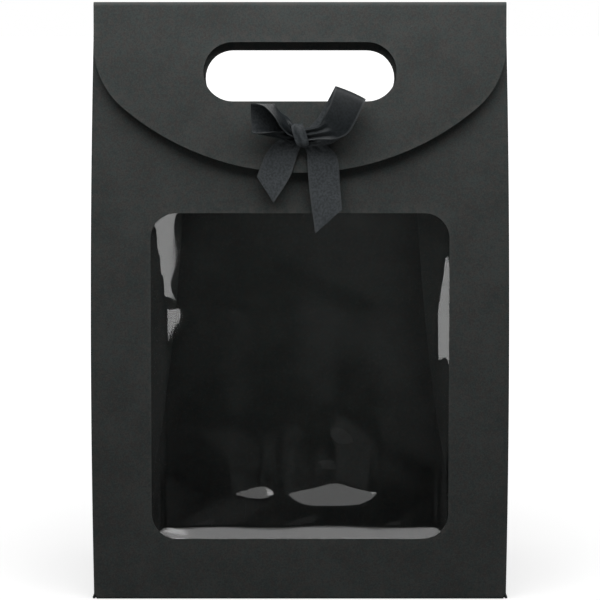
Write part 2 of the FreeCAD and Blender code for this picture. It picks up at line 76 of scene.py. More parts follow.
# Sizes of the card and its folds.
CARD = 0.6 * MM
FOLD = 0.9 * MM               # radius of a fold, at the middle of the card
CREASE_FOLD = 0.55 * MM       # radius of a gusset's centre crease
UNDER = 1.2 * MM + 1.2 * FOLD    # how far a wall's sheet turns in at its foot, with the fold
WALL_TOP_DROP = 10.0 * MM     # the front wall stops this far below the lid's crease
HAND_HOLE = (88.0 * MM, 27.0 * MM)
HAND_HOLE_RADIUS = HAND_HOLE[1] / 2 - 0.01 * MM
HAND_HOLE_DROP = 34.0 * MM
WINDOW = (136.0 * MM, 149.0 * MM)
WINDOW_RADIUS = 11.5 * MM
WINDOW_SILL = 27.0 * MM
FILM_MARGIN = 10.0 * MM
FILM = 0.2 * MM
GLUE = 0.15 * MM
LID_DROP = 78.0 * MM
LID_SIDE = 19.5 * MM
LID_SHOULDER = 38.0 * MM
LID_FOLD = 1.7 * MM
LID_HOLE_DROP = 32.0 * MM
BASE_LOCK = 12.0 * MM
SEAM_GAP = 0.3 * MM
LID_LAP = 2.4 * MM            # the lid's sheet starts this far down the back wall
FOLD_SPAN = 2.4 * MM          # width of card in a wall's side fold
FLAT_HALF = HALF_WIDTH - FOLD
NOTCH_UP = 1.2 * MM           # the side folds start this far above the bottom fold
FOOT_TOP = REACH * math.cos(FOOT_TILT) / math.cos(LEAN)

# Heights up a wall's foot where the card would bend when a joint turns; nothing here bends it.
FOOT_BEND = (0.1 * MM, 2.2 * MM)

# How the card has relaxed: the walls bow out, their sides are a little wider in the middle, and the flap
# lies closer to the wall at its sides than at the bow.
WALL_BOW = 1.2 * MM
SIDE_BOW = 0.6 * MM
SIDE_DRAW = 1.6 * MM
FLAP_SETTLE = 1.6 * MM
FLAP_FLAT = 0.25              # share of the flap's half width that doesn't settle
FLAP_WITH_WALL = 0.6          # share of the wall's bow that the flap follows
FLAP_EASE = 6.0 * MM          # height under the roof over which it starts to follow
WEAR_REACH = 0.7 * MM

# How fine the meshes are.
WALL_GRID = 5.0 * MM
LID_GRID = 4.0 * MM
BASE_GRID = (8.0 * MM, 6.0 * MM)
GUSSET_GRID = 4.0 * MM
FOLD_COLUMNS = 8
ARC_ROWS = 16
ARC_STEP = 2.0 * MM
LEAST_STEP = 0.05 * MM
EDGE_ROOM = 0.15 * MM         # grid points closer than this to a sheet's edge are left out
HOLE_ROOM = 1.0 * MM
SMOOTH_ANGLE = math.radians(40)


class Plane:
    """A flat side of the box: across to the right seen from outside, up along it, and out of it."""

    def __init__(self, origin, across, up):
        self.origin = np.array(origin)
        self.across = np.array(across)
        self.up = np.array(up)
        self.out = np.cross(self.across, self.up)

    def at(self, across, up, out):
        """Points at distances across, up and out."""
        across, up, out = np.broadcast_arrays(across, up, out)
        return (self.origin + across[..., None] * self.across + up[..., None] * self.up
                + out[..., None] * self.out)

    def local(self, point):
        """A point's distances across, up and out."""
        offset = np.array(point) - self.origin
        return offset @ self.across, offset @ self.up, offset @ self.out


FRONT = Plane(FRONT_CREASE, (1, 0, 0), (0, math.sin(LEAN), math.cos(LEAN)))
BACK = Plane(BACK_CREASE, (-1, 0, 0), (0, -math.sin(LEAN), math.cos(LEAN)))
WALL_LENGTH = float(BACK.local(LID_CREASE)[1])
LID_UP = float(FRONT.local(LID_CREASE)[1])
LID_INSIDE = -float(FRONT.local(LID_CREASE)[2])


def node_out(node, plane):
    """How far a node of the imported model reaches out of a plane."""
    corners = np.array([vertex.co for vertex in frame["nodes"][node].data.vertices])
    return float(((corners - plane.origin) @ plane.out).max())


LID_FACE = node_out("lid_flap", FRONT)
LID_OUT = LID_FACE - CARD / 2


class Profile:
    """A line of straight runs joined by arcs, as a card is folded, measured along its length."""

    def __init__(self, corners, radii):
        corners = [np.array(corner, float) for corner in corners]
        points = [corners[0]]
        for before, corner, after, radius in zip(corners, corners[1:], corners[2:], radii):
            points.extend(self.arc(before, corner, after, radius))
        points.append(corners[-1])
        points = np.array(points)
        along = np.concatenate([[0], np.cumsum(np.linalg.norm(np.diff(points, axis=0), axis=1))])
        self.along = along
        self.points = points
        self.length = along[-1]

    @staticmethod
    def arc(before, corner, after, radius):
        """Points of the arc that rounds one corner."""
        into = (before - corner) / np.linalg.norm(before - corner)
        out = (after - corner) / np.linalg.norm(after - corner)
        half = math.acos(np.clip(into @ out, -1, 1)) / 2
        start = corner + into * radius / math.tan(half)
        end = corner + out * radius / math.tan(half)
        middle = corner + (into + out) / np.linalg.norm(into + out) * radius / math.sin(half)
        turn = math.pi - 2 * half
        arms = []
        for step in range(ARC_ROWS + 1):
            share = step / ARC_ROWS
            arm = (math.sin((1 - share) * turn) * (start - middle)
                   + math.sin(share * turn) * (end - middle)) / math.sin(turn)
            arms.append(middle + arm)
        return arms

    def at(self, length):
        """Points at lengths along the line, and the normals to the right of it."""
        length = np.asarray(length, float)
        here = self.place(length)
        ahead = self.place(length + LEAST_STEP) - self.place(length - LEAST_STEP)
        ahead /= np.linalg.norm(ahead, axis=-1, keepdims=True)
        normal = np.stack([ahead[..., 1], -ahead[..., 0]], -1)
        return here, normal

    def place(self, length):
        """Points at lengths along the line, held at its ends."""
        length = np.clip(length, 0, self.length)
        first = np.interp(length, self.along, self.points[:, 0])
        second = np.interp(length, self.along, self.points[:, 1])
        return np.stack([first, second], -1)

    def turns(self, spacing):
        """Lengths at which a mesh along this line needs a row: every arc point, and evenly between."""
        stations = list(self.along)
        rows = []
        for start, end in zip(stations, stations[1:]):
            count = max(1, round((end - start) / spacing))
            rows.extend(start + (end - start) * step / count for step in range(count))
        return np.array(rows + [stations[-1]])


def inside(points, outline):
    """Which points lie inside a closed outline."""
    x, y = points[:, 0, None], points[:, 1, None]
    start = np.array(outline)
    end = np.roll(start, -1, axis=0)
    straddles = (start[:, 1] > y) != (end[:, 1] > y)
    rise = np.where(end[:, 1] == start[:, 1], 1e-12, end[:, 1] - start[:, 1])
    crossing = start[:, 0] + (y - start[:, 1]) * (end[:, 0] - start[:, 0]) / rise
    return (straddles & (x < crossing)).sum(axis=1) % 2 == 1


def clearance(points, outline):
    """Distance from each point to a closed outline."""
    start = np.array(outline)
    run = np.roll(start, -1, axis=0) - start
    offset = points[:, None, :] - start
    share = np.clip((offset * run).sum(-1) / np.maximum((run ** 2).sum(-1), 1e-18), 0, 1)
    return np.linalg.norm(offset - share[..., None] * run, axis=-1).min(axis=1)


def divided(corners, columns, rows):
    """A closed outline with extra points wherever an edge crosses a column or a row of the mesh."""
    points = []
    for start, end in zip(corners, corners[1:] + corners[:1]):
        start, end = np.array(start), np.array(end)
        shares = [0.0]
        for axis, lines in ((0, columns), (1, rows)):
            run = end[axis] - start[axis]
            if abs(run) > 1e-9:
                shares.extend((line - start[axis]) / run for line in lines)
        shares = sorted(share for share in shares if 0 <= share < 1 - 1e-6)
        last = -1.0
        for share in shares:
            if (share - last) * np.linalg.norm(end - start) > LEAST_STEP:
                points.append(tuple(start + (end - start) * share))
                last = share
    return points


def arc_points(centre, radius, start, end):
    """Points along an arc, by angles in radians."""
    count = max(4, math.ceil(abs(end - start) * radius / ARC_STEP))
    angles = np.linspace(start, end, count + 1)
    return [(centre[0] + radius * math.cos(a), centre[1] + radius * math.sin(a)) for a in angles]


def rounded_outline(width, height, middle, radius):
    """A rectangle with round corners, centred across, at a height."""
    x = width / 2 - radius
    low = middle - height / 2 + radius
    high = middle + height / 2 - radius
    corners = ((x, low, -0.5), (x, high, 0.0), (-x, high, 0.5), (-x, low, 1.0))
    points = []
    for across, up, turn in corners:
        points.extend(arc_points((across, up), radius, turn * math.pi, (turn + 0.5) * math.pi))
    return points


def spread(low, high, spacing):
    """Evenly spaced values that include both ends."""
    count = max(1, round((high - low) / spacing))
    return np.linspace(low, high, count + 1)


def triangulate(outline, holes, columns, rows):
    """Points and triangles of a sheet with holes: its edges and a grid of columns and rows between."""
    grid = np.array([(x, y) for x in columns for y in rows])
    keep = inside(grid, outline) & (clearance(grid, outline) > EDGE_ROOM)
    for hole in holes:
        keep &= ~inside(grid, hole) & (clearance(grid, hole) > HOLE_ROOM)
    points = []
    edges = []
    for loop in [outline] + holes:
        first = len(points)
        points.extend(loop)
        count = len(loop)
        edges.extend((first + step, first + (step + 1) % count) for step in range(count))
    points.extend(map(tuple, grid[keep]))
    verts, _, faces, _, _, _ = delaunay_2d_cdt([Vector(p) for p in points], edges, [], 0, 1e-7)
    verts = np.array([tuple(v) for v in verts])
    faces = np.array([tuple(face) for face in faces])
    middle = verts[faces].mean(axis=1)
    kept = inside(middle, outline)
    for hole in holes:
        kept &= ~inside(middle, hole)
    return verts, faces[kept]


def grid_faces(rows, columns, first=0, closed=False):
    """Quads of a grid whose points are listed row by row, and whose rows may close to rings."""
    faces = []
    for low in range(first, first + (rows - 1) * columns, columns):
        for step in range(columns if closed else columns - 1):
            ahead = (step + 1) % columns
            faces.append((low + step, low + ahead, low + columns + ahead, low + columns + step))
    return faces


def vertex_normals(points, faces):
    """Unit normals at the points of a surface."""
    normals = np.zeros_like(points)
    for face in faces:
        corners = points[list(face)]
        normal = np.cross(corners[1] - corners[0], corners[2] - corners[0])
        if len(face) == 4:
            normal += np.cross(corners[2] - corners[0], corners[3] - corners[0])
        normals[list(face)] += normal
    return normals / np.maximum(np.linalg.norm(normals, axis=1, keepdims=True), 1e-12)


def new_object(name, points, faces, flat, materials, rim_start=None):
    """A mesh object with its flat coordinates as UVs, in metres, and its rim in the second material."""
    mesh = bpy.data.meshes.new(name)
    mesh.from_pydata([tuple(p) for p in points], [], [tuple(map(int, f)) for f in faces])
    uv = mesh.uv_layers.new(name="flat")
    for loop in mesh.loops:
        uv.data[loop.index].uv = flat[loop.vertex_index]
    for material in materials:
        mesh.materials.append(material)
    for polygon in mesh.polygons:
        polygon.use_smooth = True
        if rim_start is not None and polygon.index >= rim_start:
            polygon.material_index = len(materials) - 1
    mesh.set_sharp_from_angle(angle=SMOOTH_ANGLE)
    obj = bpy.data.objects.new(name, mesh)
    bpy.context.scene.collection.objects.link(obj)
    return obj


def thick_sheet(name, points, faces, flat, thickness, materials):
    """A sheet with real thickness about its middle surface, and a rim along every free edge."""
    faces = [tuple(map(int, face)) for face in faces]
    normals = vertex_normals(points, faces)
    count = len(points)
    solid = np.concatenate([points + normals * thickness / 2, points - normals * thickness / 2])
    sides = {}
    for face in faces:
        for start, end in zip(face, face[1:] + face[:1]):
            sides[(start, end)] = True
    rim = [(start, start + count, end + count, end) for start, end in sides if (end, start) not in sides]
    all_faces = faces + [tuple(index + count for index in reversed(face)) for face in faces] + rim
    uv = np.concatenate([flat, flat])
    return new_object(name, solid, all_faces, uv, materials, rim_start=2 * len(faces))


# Materials, each built by its own function from procedural textures.
def set_inputs(node, inputs):
    """Give sockets of a node what they take: the output of another node, or a plain value."""
    for socket, source in dict(inputs).items():
        if hasattr(source, "is_output"):
            node.id_data.links.new(source, node.inputs[socket])
        else:
            node.inputs[socket].default_value = source


def node_adder(tree):
    """A function that adds a node to a tree, with its settings and inputs."""
    def add(kind, inputs=(), **settings):
        node = tree.nodes.new(kind)
        for key, setting in settings.items():
            setattr(node, key, setting)
        set_inputs(node, inputs)
        return node

    return add


def new_material(name):
    """A material, its shader and a function that adds a node to it."""
    material = bpy.data.materials.new(name)
    material.use_nodes = True
    tree = material.node_tree
    return material, tree.nodes["Principled BSDF"], node_adder(tree)


def noise_value(add, coordinates, scale, detail=3.0, roughness=0.55):
    """Output of a noise texture, from 0 to 1."""
    node = add("ShaderNodeTexNoise", {"Vector": coordinates, "Scale": scale, "Detail": detail,
                                      "Roughness": roughness})
    return node.outputs["Fac"]


def remap(add, source, low, high, to_low, to_high):
    """A value spread from one range to another, and held at its ends."""
    node = add("ShaderNodeMapRange", {"Value": source, "From Min": low, "From Max": high,
                                      "To Min": to_low, "To Max": to_high})
    return node.outputs["Result"]


def mixed(add, factor, first, second):
    """A colour between two, by a factor."""
    return add("ShaderNodeMix", {0: factor, 6: first, 7: second}, data_type="RGBA").outputs[2]


def calculated(add, operation, first, second=0.0):
    """The result of a sum on one value or two."""
    return add("ShaderNodeMath", {0: first, 1: second}, operation=operation).outputs[0]


def weighed(add, first, first_share, second, second_share):
    """The sum of two values, each times its share."""
    return calculated(add, "ADD", calculated(add, "MULTIPLY", first, first_share),
                      calculated(add, "MULTIPLY", second, second_share))


def bumped(add, height, strength, distance):
    """A normal that follows a height."""
    node = add("ShaderNodeBump", {"Height": height, "Strength": strength, "Distance": distance})
    return node.outputs["Normal"]


def tinted(colour, *shares):
    """A colour with each channel times its share."""
    return [channel * share for channel, share in zip(colour, shares)] + [1]


def card_material(name, colour, worn_colour):
    """Dyed card: fine fibre grain, cloudy tone, faint colour mottle, pale specks and worn folds."""
    material, shader, add = new_material(name)
    place = add("ShaderNodeTexCoord").outputs["Object"]
    grain = noise_value(add, place, 1500, 4)
    cloud = noise_value(add, place, 60, 3)
    mottle = noise_value(add, place, 420, 2)
    specks = noise_value(add, place, 900, 1)
    dark = tinted(colour, 0.66, 0.66, 0.66)
    pale = tinted(colour, 1.34, 1.34, 1.34)
    warm = tinted(colour, 1.30, 0.97, 0.92)
    cool = tinted(colour, 0.74, 1.03, 1.06)
    tone = weighed(add, grain, 0.7, cloud, 0.3)
    shade = mixed(add, remap(add, tone, 0.40, 0.60, 0, 1), dark, pale)
    tint = mixed(add, remap(add, mottle, 0.38, 0.62, 0, 1), cool, warm)
    base = mixed(add, 0.35, shade, tint)
    flecked = mixed(add, remap(add, specks, 0.80, 0.86, 0, 0.5), base, [0.16, 0.17, 0.165, 1])
    wear = add("ShaderNodeAttribute", attribute_name="wear").outputs["Fac"]
    rubbed = calculated(add, "MULTIPLY", wear, remap(add, mottle, 0.4, 0.7, 0.02, 0.32))
    set_inputs(shader, {
        "Base Color": mixed(add, rubbed, flecked, worn_colour),
        "Roughness": remap(add, grain, 0.25, 0.75, 0.62, 0.82),
        "Specular IOR Level": 0.28,
        "Normal": bumped(add, tone, 0.35, 0.06 * MM),
    })
    return material


RIBBON_WIDTH = 15.0 * MM
WEFT_PITCH = 0.34 * MM
WARP_PITCH = 0.24 * MM
SELVEDGE = (1.0 * MM, 0.6 * MM)    # distances from the ribbon's edge over which it gets denser
SELVEDGE_COLOUR = [0.07, 0.075, 0.078, 1]


def ribbon_material(name, dark, pale, thread_colour, roughness):
    """Satin ribbon: weft across, finer warp along, slubs, and a denser selvedge down both edges."""
    material, shader, add = new_material(name)
    flat = add("ShaderNodeUVMap", uv_map="flat").outputs["UV"]
    parts = add("ShaderNodeSeparateXYZ", {"Vector": flat}).outputs
    across, along = parts["X"], parts["Y"]
    slubs = noise_value(add, flat, 900, 3)
    cloud = noise_value(add, flat, 140, 2)
    weft = calculated(add, "SINE", calculated(add, "MULTIPLY", along, 2 * math.pi / WEFT_PITCH))
    warp = calculated(add, "SINE", calculated(add, "MULTIPLY", across, 2 * math.pi / WARP_PITCH))
    thread = weighed(add, weft, 0.5, warp, 0.25)
    start, end = (RIBBON_WIDTH / 2 - inset for inset in SELVEDGE)
    selvedge = remap(add, calculated(add, "ABSOLUTE", across), start, end, 0, 1)
    tone = weighed(add, slubs, 0.75, cloud, 0.25)
    yarn = mixed(add, remap(add, tone, 0.41, 0.59, 0, 1), dark, pale)
    lit = mixed(add, remap(add, thread, -0.6, 0.6, 0, 0.35), yarn, thread_colour)
    woven = calculated(add, "ADD", thread, slubs)
    height = calculated(add, "ADD", woven, calculated(add, "MULTIPLY", selvedge, 0.6))
    set_inputs(shader, {
        "Base Color": mixed(add, calculated(add, "MULTIPLY", selvedge, 0.5), lit, SELVEDGE_COLOUR),
        "Roughness": remap(add, slubs, 0.3, 0.7, roughness - 0.06, roughness + 0.08),
        "Specular IOR Level": 0.25,
        "Anisotropic": 0.4,
        "Normal": bumped(add, height, 0.5, 0.05 * MM),
    })
    return material


def film_material():
    """Clear film, with faint haze where it has been handled."""
    material, shader, add = new_material("clear_film")
    haze = noise_value(add, add("ShaderNodeTexCoord").outputs["Object"], 55, 4, 0.6)
    set_inputs(shader, {
        "Base Color": (0.95, 0.97, 0.96, 1),
        "Roughness": remap(add, haze, 0.45, 0.75, 0.015, 0.07),
        "Transmission Weight": 1.0,
        "IOR": 1.48,
    })
    return material


def pile_material():
    """Black hook-and-loop tape."""
    material, shader, add = new_material("hook_and_loop")
    fuzz = noise_value(add, add("ShaderNodeTexCoord").outputs["Object"], 1800, 3)
    tone = remap(add, fuzz, 0.35, 0.7, 0, 1)
    set_inputs(shader, {
        "Base Color": mixed(add, tone, [0.012, 0.012, 0.013, 1], [0.04, 0.04, 0.042, 1]),
        "Roughness": 0.7,
        "Sheen Weight": 0.3,
        "Normal": bumped(add, fuzz, 0.6, 0.2 * MM),
    })
    return material


def adhesive_material():
    """Dried clear adhesive, a little cloudy."""
    material, shader, add = new_material("adhesive")
    cloud = noise_value(add, add("ShaderNodeTexCoord").outputs["Object"], 500, 3)
    tone = remap(add, cloud, 0.3, 0.7, 0, 1)
    set_inputs(shader, {
        "Base Color": mixed(add, tone, [0.16, 0.16, 0.15, 1], [0.3, 0.3, 0.28, 1]),
        "Roughness": remap(add, cloud, 0.3, 0.7, 0.25, 0.45),
        "Normal": bumped(add, cloud, 0.3, 0.1 * MM),
    })
    return material


CARD_FACE = card_material("black_card", (0.047, 0.0515, 0.0498, 1), [0.10, 0.105, 0.10, 1])
CARD_EDGE = card_material("card_cut_edge", (0.070, 0.073, 0.070, 1), [0.13, 0.135, 0.13, 1])
SATIN = ribbon_material("satin_face", [0.0055, 0.0075, 0.0088, 1], [0.014, 0.0178, 0.020, 1],
                        [0.021, 0.0255, 0.0285, 1], 0.40)
# The satin's duller back: its base colour is lightened well past the face's to paint the sheen that the tails
# and loops catch from the light.
SATIN_BACK_PAINTED_SHEEN = ribbon_material("satin_back_painted_sheen", [0.033, 0.038, 0.042, 1], [0.071, 0.080, 0.086, 1],
                             [0.096, 0.106, 0.113, 1], 0.55)
# A copy of the satin with a painted mid-tone between the face and the lightened back, standing in for how
# light falls on the knot.
SATIN_PAINTED_MIDTONE = ribbon_material("satin_knot_painted_midtone", [0.021, 0.025, 0.028, 1], [0.046, 0.053, 0.057, 1],
                             [0.064, 0.071, 0.076, 1], 0.50)
CLEAR_FILM = film_material()
PILE = pile_material()
ADHESIVE = adhesive_material()


def card_sheet(name, points, faces, flat, from_wear):
    """A sheet of card, worn most where a point's distance from an edge or fold is least."""
    sheet = thick_sheet(name, points, faces, flat, CARD, [CARD_FACE, CARD_EDGE])
    wear = np.concatenate([np.exp(-from_wear / WEAR_REACH)] * 2)
    attribute = sheet.data.attributes.new("wear", "FLOAT", "POINT")
    attribute.data.foreach_set("value", wear.astype(np.float32))
    return sheet


def stands_for(node):
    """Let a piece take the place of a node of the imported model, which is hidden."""
    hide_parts(node)


def wall_bow(across, up):
    """How far a wall bows out of its plane."""
    sideways = np.clip(1 - (across / HALF_WIDTH) ** 2, 0, 1)
    upright = np.clip(1 - ((up - WALL_LENGTH / 2) / (WALL_LENGTH / 2)) ** 2, 0, 1)
    return WALL_BOW * sideways * upright


def width_share(up):
    """Width of a wall at a height, as a share of its nominal width."""
    from_middle = (up - WALL_LENGTH / 2) / (WALL_LENGTH / 2)
    return 1 + (SIDE_BOW - SIDE_DRAW * from_middle ** 2) / HALF_WIDTH


def edge_turn(up):
    """Angle through which the card folds at a wall's side edge, from the wall into the gusset."""
    inward = REACH - np.maximum(up, FOOT_TOP) * math.sin(LEAN)
    depth = np.sqrt(REACH ** 2 - inward ** 2)
    return math.pi - np.arctan2(inward, depth)


def wall_surface(plane, profile, across, along):
    """Points of a wall's middle surface: folded under at its foot, round at both sides, and bowed."""
    here, normal = profile.at(along)
    out, up = here[..., 0], here[..., 1]
    share = np.clip((np.abs(across) - FLAT_HALF) / FOLD_SPAN, 0, 1)
    turn = share * edge_turn(np.maximum(up, 0))
    sideways = np.sign(across) * (np.minimum(np.abs(across), FLAT_HALF) + FOLD * np.sin(turn))
    sideways = sideways * width_share(up)
    depth = -FOLD * (1 - np.cos(turn)) + wall_bow(sideways, up)
    return plane.at(sideways, up + normal[..., 1] * depth, out + normal[..., 0] * depth)


def wall_profile(top):
    """Line of a wall from its turned-in foot, round the bottom fold and up to its top, as (out, up)."""
    level = CARD / 2 - FRONT_CREASE.z
    corner_up = level / math.cos(LEAN)
    inward = (-math.cos(LEAN) * UNDER, corner_up + math.sin(LEAN) * UNDER)
    return Profile([inward, (0.0, corner_up), (0.0, top)], [FOLD])


def wall_sheet(name, plane, top, holes):
    """One wall as a sheet of card, with its bottom fold and both side folds."""
    profile = wall_profile(top)
    start = profile.length - top
    rows = profile.turns(WALL_GRID)
    fold_columns = spread(FLAT_HALF, FLAT_HALF + FOLD_SPAN, FOLD_SPAN / FOLD_COLUMNS)
    flat_columns = spread(-FLAT_HALF, FLAT_HALF, WALL_GRID)[1:-1]
    columns = np.concatenate([-fold_columns[::-1], flat_columns, fold_columns])
    side = FLAT_HALF + FOLD_SPAN
    notch = start + NOTCH_UP
    corners = [(-FLAT_HALF, 0.0), (FLAT_HALF, 0.0), (FLAT_HALF, notch), (side, notch),
               (side, profile.length), (-side, profile.length), (-side, notch), (-FLAT_HALF, notch)]
    outline = divided(corners, columns, rows)
    moved = [[(x, start + y) for x, y in hole] for hole in holes]
    flat, faces = triangulate(outline, moved, columns, rows)
    points = wall_surface(plane, profile, flat[:, 0], flat[:, 1])
    loops = [clearance(flat, loop) for loop in [outline] + moved]
    folds = [np.abs(np.abs(flat[:, 0]) - FLAT_HALF - FOLD_SPAN / 3), np.abs(flat[:, 1] - start)]
    return card_sheet(name, points, faces, flat, np.min(loops + folds, axis=0))


def hand_hole(up):
    """Outline of the hand hole, with its middle at a height."""
    return rounded_outline(*HAND_HOLE, up, HAND_HOLE_RADIUS)


WALL_HOLE_UP = WALL_LENGTH - HAND_HOLE_DROP
WINDOW_UP = WINDOW_SILL + WINDOW[1] / 2


def make_wall(side, plane, top, holes):
    """A wall of card, with its bottom fold."""
    sheet = wall_sheet(f"{side}_wall_sheet", plane, top, holes)
    start, end = (tuple(plane.at(0.0, up, 0.0)) for up in FOOT_BEND)
    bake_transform(sheet)
    stands_for(f"{side}_panel")


def lid_profile():
    """Line of the lid from the back wall over the roof and down the flap, as (out, up) of the front."""
    down = np.array([math.sin(2 * LEAN), -math.cos(2 * LEAN)])
    crease = np.array([-LID_INSIDE, LID_UP])
    start = crease + LID_LAP * np.array([-down[0], down[1]])
    corner = (LID_OUT, LID_UP)
    foot = (LID_OUT, LID_UP + CARD / 2 - LID_DROP)
    return Profile([start, crease, corner, foot], [FOLD, LID_FOLD])


def flap_bow(across, down):
    """How the flap hangs: it lies closer to the wall at its sides than at the bow."""
    fall = np.clip(down / LID_DROP, 0, 1)
    aside = np.clip((np.abs(across) / LID_HALF_WIDTH - FLAP_FLAT) / (1 - FLAP_FLAT), 0, 1) ** 1.5
    return -FLAP_SETTLE * aside * np.sqrt(fall) + FLAP_WITH_WALL * wall_bow(across, LID_UP - down)


def flap_outline(profile):
    """Outline of the lid's sheet, flat: straight sides, two shoulder arcs and one wide arc."""
    half = LID_HALF_WIDTH
    bottom = profile.length
    shoulder_at = bottom - (LID_DROP - LID_SIDE)
    inner = half - LID_SHOULDER
    fall = bottom - shoulder_at
    wide = (inner ** 2 + fall ** 2 - LID_SHOULDER ** 2) / (2 * (fall - LID_SHOULDER))
    centre = bottom - wide
    angle = math.atan2(shoulder_at - centre, inner)
    right = arc_points((inner, shoulder_at), LID_SHOULDER, 0, angle)
    low = arc_points((0, centre), wide, angle, math.pi - angle)
    left = arc_points((-inner, shoulder_at), LID_SHOULDER, math.pi - angle, math.pi)
    return right + low[1:-1] + left, shoulder_at


def lid_surface(profile, across, along):
    """Points of the lid's middle surface."""
    here, normal = profile.at(along)
    top = profile.length - LID_DROP
    bow = -flap_bow(across, along - top) * np.clip((along - top) / FLAP_EASE, 0, 1)
    out = here[..., 0] + normal[..., 0] * bow
    up = here[..., 1] + normal[..., 1] * bow
    return FRONT.at(across, up, out)


def make_lid():
    """Lid: hinge strip, roof and curved flap in one sheet, with its hand hole."""
    profile = lid_profile()
    curve, shoulder_at = flap_outline(profile)
    rows = profile.turns(LID_GRID)
    columns = spread(-LID_HALF_WIDTH, LID_HALF_WIDTH, LID_GRID)
    straight = [(-LID_HALF_WIDTH, shoulder_at), (-LID_HALF_WIDTH, 0.0), (LID_HALF_WIDTH, 0.0),
                (LID_HALF_WIDTH, shoulder_at)]
    outline = divided(straight, columns, rows)
    outline = [point for point in outline if point[1] < shoulder_at - 1e-9] + curve
    hole = hand_hole(profile.length - LID_DROP + LID_HOLE_DROP)
    flat, faces = triangulate(outline, [hole], columns, rows)
    points = lid_surface(profile, flat[:, 0], flat[:, 1])
    folds = [np.abs(flat[:, 1] - LID_LAP), np.abs(flat[:, 1] - (profile.length - LID_DROP))]
    from_wear = np.min([clearance(flat, outline), clearance(flat, hole)] + folds, axis=0)
    sheet = card_sheet("lid_sheet", points, faces[:, ::-1], flat, from_wear)
    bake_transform(sheet)
    stands_for("lid_flap")


def flat_piece(node, body, plane, corners, columns, rows):
    """A flat sheet of card on a body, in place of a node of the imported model."""
    outline = divided(corners, columns, rows)
    flat, faces = triangulate(outline, [], columns, rows)
    points = plane.at(flat[:, 0], flat[:, 1], np.zeros(len(flat)))
    sheet = card_sheet(f"{node}_sheet", points, faces, flat, clearance(flat, outline))
    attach(sheet, body)
    stands_for(node)


def make_base():
    """The two main base flaps that interlock along a stepped seam."""
    half = FLAT_HALF
    out, up = wall_profile(WALL_LENGTH).place(0.0)
    inner_end = FRONT.at(0.0, up, out)[1]
    near, far = -BASE_LOCK - SEAM_GAP / 2, BASE_LOCK - SEAM_GAP / 2
    corners = [(-half, inner_end), (half, inner_end), (half, near), (BASE_LOCK, near),
               (-BASE_LOCK, far), (-half, far)]
    columns = spread(-half, half, BASE_GRID[0])
    rows = spread(inner_end, far, BASE_GRID[1])
    for node, turn in (("base_front_flap", 1), ("base_back_flap", -1)):
        plane = Plane((0, 0, CARD / 2), (turn, 0, 0), (0, turn, 0))
        flat_piece(node, "base", plane, corners, columns, rows)


FOOT_START = 0.45 * MM        # the foot's sheet starts this far up from its crease
FOOT_EDGE = 0.25 * MM         # and stops this far short of its diagonal edges


def make_foot(side, name):
    """Triangle of card at the foot of a gusset, on the right (1) or the left (-1)."""
    origin = (side * SIDE_CREASE.x, 0, SIDE_CREASE.z)
    plane = Plane(origin, (0, side, 0), (-side * math.sin(FOOT_TILT), 0, math.cos(FOOT_TILT)))
    half = REACH - FOOT_START - FOOT_EDGE
    corners = [(-half, FOOT_START), (half, FOOT_START), (0.0, REACH - FOOT_EDGE)]
    columns = spread(-half, half, GUSSET_GRID)
    rows = spread(FOOT_START, REACH, GUSSET_GRID)
    flat_piece(f"{name}_gusset_foot", f"{name}_foot", plane, corners, columns, rows)


# Gusset halves. Each row runs from the wall's side fold to the centre crease, or to behind the foot.
GUSSET_START = 2.0 * MM
BEHIND_FOOT = 3.0 * MM
GUSSET_SAG = 1.0 * MM
RUN_SHARES = np.linspace(0, 1, 9)[:, None]
CREASE_POINTS = 7
CREASE_COLUMN = 10.0          # the column of points that is worn most
COLUMN_WEAR = 0.4 * MM        # distance from wear that each column further counts for
UNWORN = 5.0 * MM
SHORT_OF_CREASE = 0.2         # the back half stops at this share of the front half's crease


def foot_row(share, start):
    """A row that ends behind the foot, at a share of the foot's height."""
    inset = share * REACH * math.sin(FOOT_TILT)
    diagonal = np.array([SIDE_CREASE.x - inset, -REACH * (1 - share), start[2]])
    run = diagonal - start
    lap = BEHIND_FOOT * np.linspace(0, 1, CREASE_POINTS)[1:, None] * min(1, share * 3)
    return np.concatenate([start + run * RUN_SHARES, diagonal + run / np.linalg.norm(run) * lap])


def crease_row(up, start, with_crease):
    """A row that ends round the centre crease, above the foot."""
    inward = REACH - up * math.sin(LEAN)
    depth = math.sqrt(REACH ** 2 - inward ** 2)
    slope = math.atan2(inward, depth)
    middle = np.array([start[0] - depth + CREASE_FOLD / math.sin(slope), 0, start[2]])
    swing = math.pi / 2 - slope
    end = math.pi - swing if with_crease else math.pi + swing * SHORT_OF_CREASE
    angles = np.linspace(math.pi + swing, end, CREASE_POINTS)
    arc = middle + CREASE_FOLD * np.stack([np.cos(angles), np.sin(angles), np.zeros(CREASE_POINTS)], -1)
    run = start + (arc[0] - start) * RUN_SHARES
    rise = (up - FOOT_TOP) / (WALL_LENGTH - FOOT_TOP)
    run[:, 1] += GUSSET_SAG * np.sin(math.pi * RUN_SHARES[:, 0]) * math.sin(math.pi * rise)
    return np.concatenate([run, arc[1:]])


def gusset_row(up, with_crease):
    """One row of the right front gusset half."""
    profile = wall_profile(WALL_LENGTH)
    along = profile.length - WALL_LENGTH + up
    start = wall_surface(FRONT, profile, np.array(FLAT_HALF + FOLD_SPAN), np.array(along))
    if up < FOOT_TOP:
        return foot_row(up / FOOT_TOP, start)
    return crease_row(up, start, with_crease)


